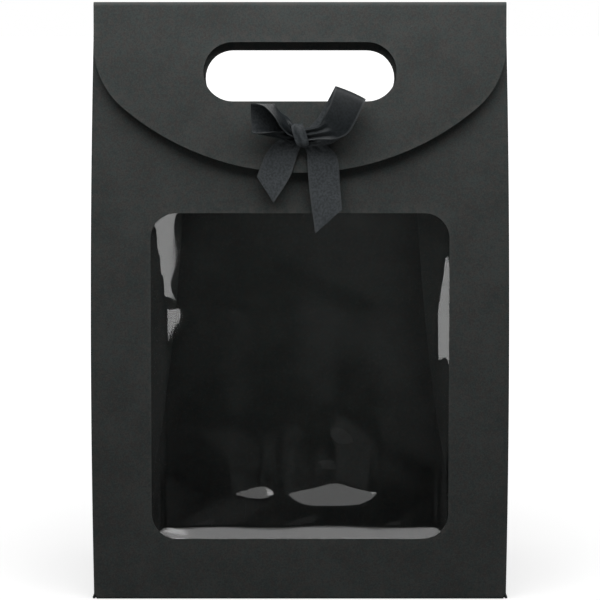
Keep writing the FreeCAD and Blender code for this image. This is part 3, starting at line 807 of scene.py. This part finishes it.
def gusset_grid(with_crease):
    """Points and flat coordinates of the right front gusset half."""
    ups = np.concatenate([
        spread(GUSSET_START, FOOT_TOP - 0.01 * MM, GUSSET_GRID),
        spread(FOOT_TOP, WALL_LENGTH - WALL_TOP_DROP - CARD, WALL_GRID),
    ])
    rows = [gusset_row(up, with_crease) for up in ups]
    flat = []
    for up, row in zip(ups, rows):
        steps = np.linalg.norm(np.diff(row, axis=0), axis=1)
        across = np.concatenate([[0], np.cumsum(steps)])
        flat.extend((value, up) for value in across)
    return np.concatenate(rows), np.array(flat), len(ups), len(rows[0])


def make_gusset_half(side, side_name, depth):
    """One half of a gusset: side 1 right or -1 left, depth 1 front or -1 back."""
    wall = "front" if depth > 0 else "back"
    name = f"{side_name}_{wall}"
    points, flat, rows, columns = gusset_grid(with_crease=depth > 0)
    points = points * np.array([side, depth, 1])
    faces = grid_faces(rows, columns)
    if side * depth < 0:
        faces = [face[::-1] for face in faces]
    from_crease = np.abs(np.tile(np.arange(columns) - CREASE_COLUMN, rows)) * COLUMN_WEAR
    from_wear = np.where(flat[:, 1] > FOOT_TOP, from_crease, UNWORN)
    sheet = card_sheet(f"{name}_gusset_sheet", points, faces, flat, from_wear)
    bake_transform(sheet)
    stands_for(f"{name}_gusset")


# Window film: dished in behind the card from its glued edges, with two dents near its foot.
FILM_OUT = -(CARD / 2 + GLUE + FILM / 2)
FILM_DISH = 1.62 * MM
FILM_OVER = 1.0 * MM          # the dish starts this far outside the window's edge
FILM_LIP = 6.1 * MM           # and falls away over this height above the sill
FILM_SIDE = 6.2 * MM          # and over this width at the sides
FILM_TOP = 45.0 * MM
SILL_WAVES = ((0.05, 9.0 * MM, 0.0), (0.04, 23.0 * MM, 1.0))    # share, length to a radian and start
RIPPLE = 0.07 * MM
RIPPLE_ACROSS = 7.0 * MM      # lengths to a radian of the ripple
RIPPLE_UP = 8.0 * MM
RIPPLE_SWAY = 11.0 * MM
DENT_SLOPE = 0.17
DENT_HEIGHT = 6.5 * MM        # height of the slope that makes the hollow above a dent
DENT_BREADTH = 20.0 * MM
DENT_FADE = 34.0 * MM
DENT_REACH = 120.0 * MM
LARGE_DENT = (15.0 * MM, 47.4 * MM)    # its place, across and up
LARGE_DENT_HALF = 21.0 * MM
LARGE_DENT_FALL = 5.9 * MM
LARGE_DENT_RISE = 2.2 * MM
LARGE_DENT_PEAK = 2.8 * MM    # more height at a peak in its upper edge
PEAK_ACROSS = 16.0 * MM
PEAK_BREADTH = 8.0 * MM
SMALL_DENT = (-17.5 * MM, 47.6 * MM)
SMALL_DENT_SIDES = (14.0 * MM, 6.5 * MM)
SMALL_DENT_FALL = 2.9 * MM
SMALL_DENT_RISE = 3.7 * MM
SMALL_HOLLOW_ACROSS = -20.0 * MM
FILM_COLUMNS = 1.6 * MM
FILM_ROWS = 3.0 * MM
FINE_ROWS = 0.8 * MM
FINE_TOP = WINDOW_SILL + 32.0 * MM
GLUE_BACK = 1.5 * MM          # the glue stops this far from the window's edge


def off_middle(value, middle, before, after):
    """How far a place lies from a dent's middle: 0 there and 1 at either end."""
    reach = np.where(value < middle, before, after)
    return np.clip(np.abs(value - middle) / reach, 0, 1)


def eased(value):
    """A smooth step from 0 to 1."""
    value = np.clip(value, 0, 1)
    return value ** 2 * (3 - 2 * value)


def dent(across, up, foot, top, middle):
    """One dent of the film: it slopes in from its foot to its top, then comes slowly back out.

    Above its top its own outline fades soon, and what is left is a broad smooth hollow.
    """
    depth = DENT_SLOPE * (top - foot)
    broad = DENT_SLOPE * DENT_HEIGHT * np.exp(-((across - middle) / DENT_BREADTH) ** 2)
    fall = DENT_SLOPE * np.clip(up - foot, 0, top - foot)
    short = 1 - eased((up - top) / DENT_FADE)
    long = 1 - eased((up - top) / DENT_REACH)
    return np.where(up < top, -fall, -(depth - broad) * short - broad * long)


def dents(across, up):
    """The two dents near the film's foot: a long one right of the middle and a small one left of it."""
    body = 1 - off_middle(across, LARGE_DENT[0], LARGE_DENT_HALF, LARGE_DENT_HALF) ** 4
    peak = np.exp(-((across - PEAK_ACROSS) / PEAK_BREADTH) ** 2)
    foot = LARGE_DENT[1] - LARGE_DENT_FALL * body
    top = LARGE_DENT[1] + LARGE_DENT_RISE * body + LARGE_DENT_PEAK * body * peak
    large = dent(across, up, foot, top, LARGE_DENT[0])
    off = off_middle(across, SMALL_DENT[0], *SMALL_DENT_SIDES)
    body = 1 - off ** 2
    foot = SMALL_DENT[1] - SMALL_DENT_FALL * body
    top = SMALL_DENT[1] + SMALL_DENT_RISE * body * (1 - 0.5 * off)
    return large + dent(across, up, foot, top, SMALL_HOLLOW_ACROSS)


def film_shape(across, up):
    """How far the film stands out of its glued plane, at places of the front wall."""
    wave = 1 + sum(share * np.sin(across / length + start) for share, length, start in SILL_WAVES)
    from_sill = (up - (WINDOW_SILL - FILM_OVER)) / (FILM_LIP * wave)
    from_side = (WINDOW[0] / 2 + FILM_OVER - np.abs(across)) / FILM_SIDE
    from_top = (WINDOW_SILL + WINDOW[1] - up) / FILM_TOP
    held = np.clip(np.minimum(np.minimum(from_sill, from_side), from_top), 0, 1)
    sway = across / RIPPLE_ACROSS + 2 * np.sin(up / RIPPLE_SWAY)
    ripple = RIPPLE * np.sin(sway) * np.sin(up / RIPPLE_UP + 0.6)
    return held ** 2 * ripple - FILM_DISH * held + dents(across, up)


def film_layer(name, flat, faces, out, thickness, material):
    """A thin layer behind the front wall that follows the wall's bow."""
    points = FRONT.at(flat[:, 0], flat[:, 1], out + wall_bow(flat[:, 0], flat[:, 1]))
    layer = thick_sheet(name, points, faces, flat, thickness, [material])
    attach(layer, "front_wall")
    return layer


def make_film():
    """Window film and the frame of glue that holds it."""
    width, height = WINDOW[0] + 2 * FILM_MARGIN, WINDOW[1] + 2 * FILM_MARGIN
    outline = rounded_outline(width, height, WINDOW_UP, WINDOW_RADIUS)
    columns = spread(-width / 2, width / 2, FILM_COLUMNS)
    low = WINDOW_UP - height / 2
    rows = np.concatenate([spread(low, FINE_TOP, FINE_ROWS), spread(FINE_TOP, low + height, FILM_ROWS)[1:]])
    flat, faces = triangulate(outline, [], columns, rows)
    out = FILM_OUT + film_shape(flat[:, 0], flat[:, 1])
    film = film_layer("window_film_sheet", flat, faces, out, FILM, CLEAR_FILM)
    stands_for("window_film")
    hole = rounded_outline(WINDOW[0] + 2 * GLUE_BACK, WINDOW[1] + 2 * GLUE_BACK, WINDOW_UP, WINDOW_RADIUS)
    flat, faces = triangulate(outline, [hole], columns, rows)
    glue = film_layer("window_glue_frame", flat, faces, -(CARD + GLUE) / 2, GLUE, ADHESIVE)
    stands_for("window_glue")
    return film


# Hook-and-loop closure.
DOT_RADIUS = 10.0 * MM
DOT_ADHESIVE = 0.2 * MM
DOT_BODY = 1.0 * MM
DOT_DEPTH = 1.9 * MM
DOT_UP = LID_UP + CARD / 2 - 62.0 * MM
DISC_SIDES = 48
DISC_RIM = (0.3 * MM, 0.2 * MM)    # width and depth of a disc's rounded rim
PILE_PITCH = 1.5 * MM
PILE_EDGE = 0.9 * MM
BRISTLE = 0.2 * MM            # radius of a bristle at its root
BRISTLE_TAPER = 0.4           # share of that radius lost by its tip
BRISTLE_ARCH = 0.62 * math.pi
BRISTLE_LEAN = 0.25 * MM
LEAN_CHANGE = (9000, 5000)    # how fast the lean changes across and up, in radians to a metre
BRISTLE_SIDES = 5
BRISTLE_RINGS = 5
LOOP_BEND = 0.9 * MM
HOOK_BEND = 0.35 * MM


def disc(name, up, radius, low, high, bow, material):
    """A disc on the front wall or the lid, between two distances out of it, with a rounded rim."""
    rim = 1 - DISC_RIM[0] / radius
    ease = min(0.2, DISC_RIM[1] / abs(high - low))
    rings = ((0.0, 0.0), (1.0, 0.0), (1.0, 1 - ease), (rim, 1.0), (0.5, 1.0), (0.0, 1.0))
    angles = np.linspace(0, 2 * math.pi, DISC_SIDES, endpoint=False)
    points = []
    for share, level in rings:
        across = radius * share * np.cos(angles)
        height = up + radius * share * np.sin(angles)
        points.append(FRONT.at(across, height, low + (high - low) * level + bow(across, height)))
    faces = grid_faces(len(rings), DISC_SIDES, closed=True)
    if high < low:
        faces = [face[::-1] for face in faces]
    points = np.concatenate(points)
    return new_object(name, points, faces, points[:, :2], [material])


def bristle(x, y, up, base, height, bend):
    """Points of one bristle, ring by ring. It leans its own way and bends over at its tip."""
    lean = math.sin(LEAN_CHANGE[0] * x + LEAN_CHANGE[1] * y) * BRISTLE_LEAN
    points = []
    for share in np.linspace(0, 1, BRISTLE_RINGS):
        reach = bend * share ** 2
        thick = BRISTLE * (1 - BRISTLE_TAPER * share)
        level = base + height * math.sin(share * BRISTLE_ARCH)
        for angle in np.linspace(0, 2 * math.pi, BRISTLE_SIDES, endpoint=False):
            across = x + lean * share + thick * math.cos(angle)
            points.append(FRONT.at(across, up + y - reach + thick * math.sin(angle), level))
    return points


def pile(name, up, base, height, bow, bend):
    """Rows of small bristles on a closure dot."""
    points = []
    faces = []
    steps = np.arange(-DOT_RADIUS, DOT_RADIUS, PILE_PITCH)
    for row, y in enumerate(steps):
        for x in steps + PILE_PITCH / 2 * (row % 2):
            if math.hypot(x, y) > DOT_RADIUS - PILE_EDGE:
                continue
            faces.extend(grid_faces(BRISTLE_RINGS, BRISTLE_SIDES, len(points), closed=True))
            points.extend(bristle(x, y, up, base + bow(x, up + y), height, bend))
            faces.append(tuple(range(len(points) - BRISTLE_SIDES, len(points))))
    points = np.array(points)
    return new_object(name, points, faces, points[:, :2], [PILE])


def lid_bow(across, up):
    """How far the flap bows out of its plane, at a height of the front wall."""
    return flap_bow(across, LID_UP - up)


def make_closure():
    """Hook dot under the lid and loop dot on the front wall, each on its adhesive."""
    sides = (
        ("closure_loop", "front_wall", CARD / 2, 1, wall_bow, LOOP_BEND),
        ("closure_hook", "lid", LID_FACE - CARD, -1, lid_bow, HOOK_BEND),
    )
    for name, body, face, way, bow, bend in sides:
        glued = face + way * DOT_ADHESIVE
        tape = glued + way * DOT_BODY
        glue = disc(f"{name}_adhesive_disc", DOT_UP, DOT_RADIUS, face, glued, bow, ADHESIVE)
        dot = disc(f"{name}_tape", DOT_UP, DOT_RADIUS, glued, tape, bow, PILE)
        bristles = pile(f"{name}_pile", DOT_UP, tape, way * (DOT_DEPTH - DOT_BODY), bow, bend)
        for piece in (glue, dot, bristles):
            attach(piece, body)
        stands_for(f"{name}_adhesive")
        stands_for(f"{name}_dot")
        stands_for(f"{name}_dot")


# Ribbon bow. Rows are the place of the ribbon's middle (across, up, out) in millimetres and the direction
# of its width (across, up, out) in ribbon widths. Loops are measured from the middle of the knot's side, and
# tails from the middle of its foot.
KNOT_UP = LID_UP + CARD / 2 - 61.5 * MM
KNOT_WIDTH = 6.4 * MM
KNOT_HEIGHT = 11.0 * MM
RIBBON = 0.32 * MM
LEFT_LOOP = [
    (1.4, -0.6, 3.6, 0.06, -0.34, -0.06),
    (-1.3, -1.0, 4.4, 0.10, -0.42, -0.12),
    (-5.0, -0.9, 6.0, 0.40, -0.30, -0.60),
    (-9.0, -0.6, 7.0, 0.70, -0.16, -0.62),
    (-11.2, 0.0, 7.2, 0.90, -0.10, -0.40),
    (-11.6, 2.0, 7.2, 0.92, -0.10, -0.36),
    (-12.2, 6.5, 7.6, 0.88, -0.12, -0.42),
    (-13.0, 11.2, 8.6, 0.78, -0.10, -0.58),
    (-13.2, 13.4, 9.2, 0.66, 0.00, -0.72),
    (-10.6, 13.2, 9.6, 0.30, 0.15, -0.90),
    (-6.9, 9.0, 8.8, 0.14, 0.27, -0.90),
    (-3.6, 5.6, 7.4, 0.26, 0.34, -0.60),
    (-1.3, 2.9, 6.2, 0.22, 0.32, -0.14),
    (1.4, 0.9, 5.0, 0.10, 0.26, -0.06),
]
RIGHT_LOOP = [
    (-1.4, 0.4, 4.6, 0.10, -0.36, 0.02),
    (2.1, 0.9, 5.4, 0.08, -0.40, 0.05),
    (5.9, 1.4, 7.0, 0.10, -0.44, 0.08),
    (9.6, 2.6, 8.4, 0.36, -0.62, 0.12),
    (13.2, 5.2, 9.4, 0.62, -0.69, 0.12),
    (15.9, 9.6, 9.8, 0.74, -0.60, 0.12),
    (18.0, 14.6, 9.6, 0.84, -0.48, 0.10),
    (19.3, 18.0, 8.8, 0.90, -0.40, 0.10),
    (19.5, 19.1, 6.6, 0.90, -0.40, 0.08),
    (18.4, 17.2, 4.6, 0.90, -0.40, 0.06),
    (15.6, 12.0, 3.4, 0.90, -0.40, 0.06),
    (11.6, 5.4, 3.0, 0.88, -0.42, 0.05),
    (6.4, 0.4, 2.9, 0.66, -0.50, 0.00),
    (2.1, -1.6, 2.7, 0.16, -0.42, 0.00),
    (-1.4, -1.2, 3.0, 0.10, -0.36, 0.00),
]
LEFT_TAIL = [
    (-1.6, 3.6, 2.6, 0.30, -0.26, 0.00),
    (-5.6, 0.4, 1.6, 0.60, -0.40, 0.00),
    (-8.8, -4.4, 1.3, 0.84, -0.34, 0.00),
    (-11.6, -11.5, 1.0, 0.88, -0.30, 0.00),
    (-15.8, -18.7, 1.0, 0.51, -0.79, 0.00),
]
RIGHT_TAIL = [
    (2.6, 3.8, 2.6, 0.28, 0.12, 0.00),
    (7.4, -0.2, 1.6, 0.58, 0.25, 0.00),
    (10.2, -6.6, 1.3, 0.90, 0.26, 0.00),
    (11.2, -17.8, 1.0, 0.93, 0.10, 0.00),
    (13.0, -33.2, 1.0, 0.82, 0.73, 0.00),
]
RIBBON_STEP = 0.8 * MM
BOW_FACE = LID_FACE + float(flap_bow(0.0, LID_UP - KNOT_UP))
RIBBON_COLUMNS = 25
PLEATS = 2.5                  # folds across a ribbon where it is gathered
PLEAT_DEPTH = 0.5             # share of its spare width that goes into these folds
GATHERED = 0.77               # it is gathered where it is narrower than this share of its width


def smooth_line(stations, count):
    """A smooth curve through stations, as evenly divided points."""
    stations = np.array(stations, float)
    ends = [2 * stations[0] - stations[1], *stations, 2 * stations[-1] - stations[-2]]
    knots = np.array(ends)
    points = []
    for value in np.linspace(0, len(stations) - 1, count):
        index = min(int(value), len(stations) - 2)
        share = value - index
        before, start, end, after = knots[index:index + 4]
        points.append(0.5 * (2 * start + (end - before) * share
                             + (2 * before - 5 * start + 4 * end - after) * share ** 2
                             + (3 * start - before - 3 * end + after) * share ** 3))
    return np.array(points)


def ribbon_surface(line, across, up, cup):
    """Points and flat places of a ribbon along a line of rows, pleated where it is gathered."""
    middle = line[:, :3] * MM + np.array([across, up, 0.0])
    width = line[:, 3:] * RIBBON_WIDTH
    normal = np.cross(width, np.gradient(middle, axis=0))
    normal /= np.linalg.norm(normal, axis=1, keepdims=True)
    along = np.concatenate([[0], np.cumsum(np.linalg.norm(np.diff(middle, axis=0), axis=1))])
    points = []
    flat = []
    for place, wide, out, run in zip(middle, width, normal, along):
        slack = math.sqrt(max(0.0, (GATHERED * RIBBON_WIDTH) ** 2 - wide @ wide))
        for share in np.linspace(-0.5, 0.5, RIBBON_COLUMNS):
            pleat = PLEAT_DEPTH * slack / (4 * PLEATS) * math.sin(2 * math.pi * PLEATS * share)
            lift = cup * (1 - 4 * share ** 2) + pleat
            points.append(place + wide * share + out * lift)
            flat.append((share * RIBBON_WIDTH, run))
    return np.array(points), np.array(flat)


def ribbon_piece(name, form, across, up, cup, materials):
    """A stretch of ribbon through the rows of its form, in the frame of the lid's face, and its length."""
    rows = np.array(form)
    length = np.linalg.norm(np.diff(rows[:, :3], axis=0), axis=1).sum() * MM
    count = max(8, round(length / RIBBON_STEP))
    points, flat = ribbon_surface(smooth_line(rows, count), across, up, cup)
    placed = FRONT.at(points[:, 0], points[:, 1], points[:, 2] + BOW_FACE)
    faces = grid_faces(count, RIBBON_COLUMNS)
    piece = thick_sheet(name, placed, faces, flat, RIBBON, materials)
    for polygon in piece.data.polygons:
        polygon.material_index = 0 if polygon.index < len(faces) else 1
    return piece, flat[-1, 1]


def dress_ribbon(piece, node):
    """Let a stretch of ribbon ride on the lid in place of its node."""
    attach(piece, "lid")
    stands_for(node)


KNOT_SLANT = 0.30
KNOT_DEPTH = 5.8 * MM
KNOT_LENGTH = 2 * (KNOT_HEIGHT + KNOT_DEPTH)
KNOT_LIFT = 1.3 * MM
KNOT_TUCK = 0.7 * MM          # the band's edges are folded in under it
KNOT_TUCK_RUN = 0.6 * MM
KNOT_SQUARE = 0.55            # power that draws the knot's section out towards a square
KNOT_TAPER = 0.24
KNOT_CROWN = 0.8 * MM
# Half the knot's height and half its depth, without the folds.
KNOT_CORE = (KNOT_HEIGHT / 2 - 0.5 * MM, KNOT_DEPTH / 2 - 0.4 * MM)
KNOT_WRINKLE = 0.2 * MM
KNOT_WAVES = 1.7              # wrinkles across the band
KNOT_SKEW = 0.9               # and how far they shift from its middle to its top, in radians
KNOT_TURNS = 40
KNOT_COLUMNS = 31
GLUE_DOT_RADIUS = 3.0 * MM
GLUE_DOT_SINK = 0.2 * MM      # the knot is pressed this far into its dot of glue


def squared(value):
    """A sine or cosine drawn out towards a square."""
    return math.copysign(abs(value) ** KNOT_SQUARE, value)


def make_knot():
    """The knot: a stretch of ribbon wrapped round the gathers, slanted and wrinkled."""
    points = []
    flat = []
    for step in range(KNOT_TURNS + 1):
        angle = 2 * math.pi * step / KNOT_TURNS
        rise = squared(math.cos(angle))
        front = squared(math.sin(angle))
        width = KNOT_WIDTH * (1.0 - KNOT_TAPER * abs(rise) ** 3 * (0.5 + 0.5 * front))
        for place in np.linspace(-RIBBON_WIDTH / 2, RIBBON_WIDTH / 2, KNOT_COLUMNS):
            past = max(0.0, abs(place) - KNOT_WIDTH / 2)
            share = math.copysign(min(abs(place), KNOT_WIDTH - abs(place)), place) / KNOT_WIDTH
            wrinkle = KNOT_WRINKLE * math.cos(2 * math.pi * KNOT_WAVES * share + KNOT_SKEW * rise)
            tuck = KNOT_TUCK * min(1.0, past / KNOT_TUCK_RUN)
            folds = wrinkle + KNOT_CROWN * (0.25 - share ** 2) - tuck
            up = rise * (KNOT_CORE[0] + folds)
            out = KNOT_LIFT + KNOT_DEPTH / 2 + front * (KNOT_CORE[1] + folds)
            points.append((share * width - KNOT_SLANT * up, KNOT_UP + up, BOW_FACE + out))
            flat.append((place, step / KNOT_TURNS * KNOT_LENGTH))
    placed = FRONT.at(*np.array(points).T)
    faces = grid_faces(KNOT_TURNS + 1, KNOT_COLUMNS)
    # The knot takes the painted mid-tone copy of the satin.
    piece = thick_sheet("bow_knot_ribbon", placed, faces, np.array(flat), RIBBON, [SATIN_PAINTED_MIDTONE])
    dress_ribbon(piece, "bow_knot")


def make_bow():
    """Two loops, two tails and the knot that gathers them."""
    side = KNOT_WIDTH / 2
    below = KNOT_UP - KNOT_HEIGHT / 2
    # Each piece takes the dark face copy or the lighter back copy of the satin. The back copy's lightness is
    # painted sheen as well as the duller side.
    pieces = (
        ("bow_left_loop", LEFT_LOOP, -side, KNOT_UP, 0.0, [SATIN_BACK_PAINTED_SHEEN, SATIN]),
        ("bow_right_loop", RIGHT_LOOP, side, KNOT_UP, 0.4 * MM, [SATIN, SATIN_BACK_PAINTED_SHEEN]),
        ("bow_left_tail", LEFT_TAIL, 0.0, below, 0.3 * MM, [SATIN_BACK_PAINTED_SHEEN, SATIN_BACK_PAINTED_SHEEN]),
        ("bow_right_tail", RIGHT_TAIL, 0.0, below, 0.3 * MM, [SATIN_BACK_PAINTED_SHEEN, SATIN_BACK_PAINTED_SHEEN]),
    )
    for node, form, across, up, cup, materials in pieces:
        piece, length = ribbon_piece(f"{node}_ribbon", form, across, up, cup, materials)
        dress_ribbon(piece, node)
    make_knot()
    top = LID_FACE + KNOT_LIFT + GLUE_DOT_SINK
    dot = disc("bow_glue_disc", KNOT_UP, GLUE_DOT_RADIUS, LID_FACE, top, lid_bow, ADHESIVE)
    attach(dot, "lid")
    stands_for("bow_glue_dot")


# Stage, light and camera. Floor and room are white where they are looked at, and shed little light.
WHITE = (1, 1, 1, 1)
FLOOR_COLOUR = (0.5, 0.5, 0.5, 1)
FLOOR_HALF = 12.0
FLOOR_DROP = 0.05 * MM
FLOOR_LIFT = 0.68             # how white the floor is close to the box, under its light and shadow
FLOOR_NEAR = 0.12
FLOOR_FAR = 0.45              # from here on it is all white
WORLD_FRONT = 0.02
WORLD_BEHIND = 0.48
ROOM_GLOW = 0.09              # faint patches that only show as shine
KEY_POWER = 1.76
CAMERA_DISTANCE = 0.9
VIEW_HEIGHT = 274.6 * MM
VIEW_UP = 136.3 * MM
SENSOR = 36.0


def looked_at(add, behind):
    """1 for rays that see white: the camera's, also through the film, and what shines from behind."""
    path = add("ShaderNodeLightPath").outputs
    bounces = calculated(add, "ADD", path["Diffuse Depth"], path["Glossy Depth"])
    straight = calculated(add, "LESS_THAN", bounces, 0.5)
    through = calculated(add, "MULTIPLY", path["Is Transmission Ray"], straight)
    mirrored = calculated(add, "MULTIPLY", path["Is Glossy Ray"], behind)
    seen = calculated(add, "MAXIMUM", path["Is Camera Ray"], through)
    return calculated(add, "MAXIMUM", seen, mirrored)


def make_stage():
    """Pale floor: white where it is seen, with the box's shadow, and dim where it would shine in the film."""
    material, shader, add = new_material("pale_floor")
    place = add("ShaderNodeTexCoord").outputs["Object"]
    back = add("ShaderNodeSeparateXYZ", {"Vector": place}).outputs["Y"]
    seen = looked_at(add, remap(add, back, 0.0, 0.2, 0, 1))
    away = add("ShaderNodeVectorMath", {0: place}, operation="LENGTH").outputs["Value"]
    lift = remap(add, away, FLOOR_NEAR, FLOOR_FAR, FLOOR_LIFT, 1)
    set_inputs(shader, {
        "Base Color": FLOOR_COLOUR,
        "Roughness": 0.9,
        "Emission Color": WHITE,
        "Emission Strength": calculated(add, "MULTIPLY", seen, lift),
    })
    mesh = bpy.data.meshes.new("floor")
    corners = ((-1, -1), (1, -1), (1, 1), (-1, 1))
    mesh.from_pydata([(x * FLOOR_HALF, y * FLOOR_HALF, 0) for x, y in corners], [], [(0, 1, 2, 3)])
    mesh.materials.append(material)
    floor = bpy.data.objects.new("floor", mesh)
    floor.location.z = -FLOOR_DROP
    bpy.context.scene.collection.objects.link(floor)


def make_world():
    """World light: brighter from behind, dim in front, and white where it is looked at."""
    world = bpy.data.worlds.new("studio")
    bpy.context.scene.world = world
    world.use_nodes = True
    add = node_adder(world.node_tree)
    place = add("ShaderNodeTexCoord").outputs["Generated"]
    back = add("ShaderNodeSeparateXYZ", {"Vector": place}).outputs["Y"]
    behind = remap(add, back, -0.25, 0.35, 0, 1)
    dim = remap(add, behind, 0, 1, WORLD_FRONT, WORLD_BEHIND)
    strength = calculated(add, "MAXIMUM", looked_at(add, behind), dim)
    patches = remap(add, noise_value(add, place, 6, 2), 0.42, 0.62, 0, ROOM_GLOW)
    glow = calculated(add, "MULTIPLY", patches, add("ShaderNodeLightPath").outputs["Is Glossy Ray"])
    set_inputs(world.node_tree.nodes["Background"], {
        "Color": WHITE,
        "Strength": calculated(add, "ADD", strength, glow),
    })


def area_light(name, place, target, size, power):
    """A rectangular soft light that faces a point."""
    light = bpy.data.lights.new(name, "AREA")
    light.shape = "RECTANGLE"
    light.size, light.size_y = size
    light.energy = power
    obj = bpy.data.objects.new(name, light)
    obj.location = place
    obj.rotation_euler = (Vector(target) - Vector(place)).to_track_quat("-Z", "Y").to_euler()
    bpy.context.scene.collection.objects.link(obj)
    return obj


def make_lights(film):
    """One large soft light over the front, and three weak panels that only the film mirrors."""
    key = area_light("key", (0, -0.145, 0.50), (0, -0.01, 0.27), (0.6, 0.26), KEY_POWER)
    key.visible_transmission = False
    mirrors = bpy.data.collections.new("mirrors")
    mirrors.objects.link(film)
    panels = (
        ("low_panel", (0, -0.63, 0.42), (0, -0.03, 0.05), (0.80, 0.18), 1.85),
        ("dent_panel", (0, -2.415, 0.936), (0, -0.03, 0.04), (3.2, 0.40), 8.5),
        ("left_panel", (-0.245, -0.745, 0.33), (0.066, -0.02, 0.13), (0.26, 0.27), 1.15),
    )
    for panel in panels:
        light = area_light(*panel)
        light.light_linking.receiver_collection = mirrors
        light.visible_transmission = False
        light.visible_camera = False


def make_camera():
    """Camera square to the front wall, as in the photograph."""
    camera = bpy.data.cameras.new("camera")
    camera.sensor_width = SENSOR
    camera.lens = SENSOR * CAMERA_DISTANCE / VIEW_HEIGHT
    camera.clip_start = 0.01
    camera.clip_end = 100
    obj = bpy.data.objects.new("camera", camera)
    obj.location = FRONT.at(0.0, VIEW_UP, CAMERA_DISTANCE)
    obj.rotation_euler = (math.pi / 2 - LEAN, 0, 0)
    bpy.context.scene.collection.objects.link(obj)
    bpy.context.scene.camera = obj


def dress_flaps():
    """Give the pieces that stay as they were packed the material of the card."""
    for node in ("base_left_flap", "base_right_flap", "side_seam_tab"):
        materials = frame["nodes"][node].data.materials
        materials.clear()
        materials.append(CARD_FACE)


window = rounded_outline(*WINDOW, WINDOW_UP, WINDOW_RADIUS)
make_wall("front", FRONT, WALL_LENGTH - WALL_TOP_DROP, [window, hand_hole(WALL_HOLE_UP)])
make_wall("back", BACK, WALL_LENGTH - LID_LAP, [hand_hole(WALL_HOLE_UP)])
make_lid()
make_base()
for side, side_name in ((1, "right"), (-1, "left")):
    make_foot(side, side_name)
    make_gusset_half(side, side_name, 1)
    make_gusset_half(side, side_name, -1)
window_film = make_film()
make_closure()
make_bow()
dress_flaps()
make_stage()
make_world()
make_lights(window_film)
make_camera()
bpy.context.scene.view_settings.view_transform = "Standard"
bpy.context.view_layer.update()
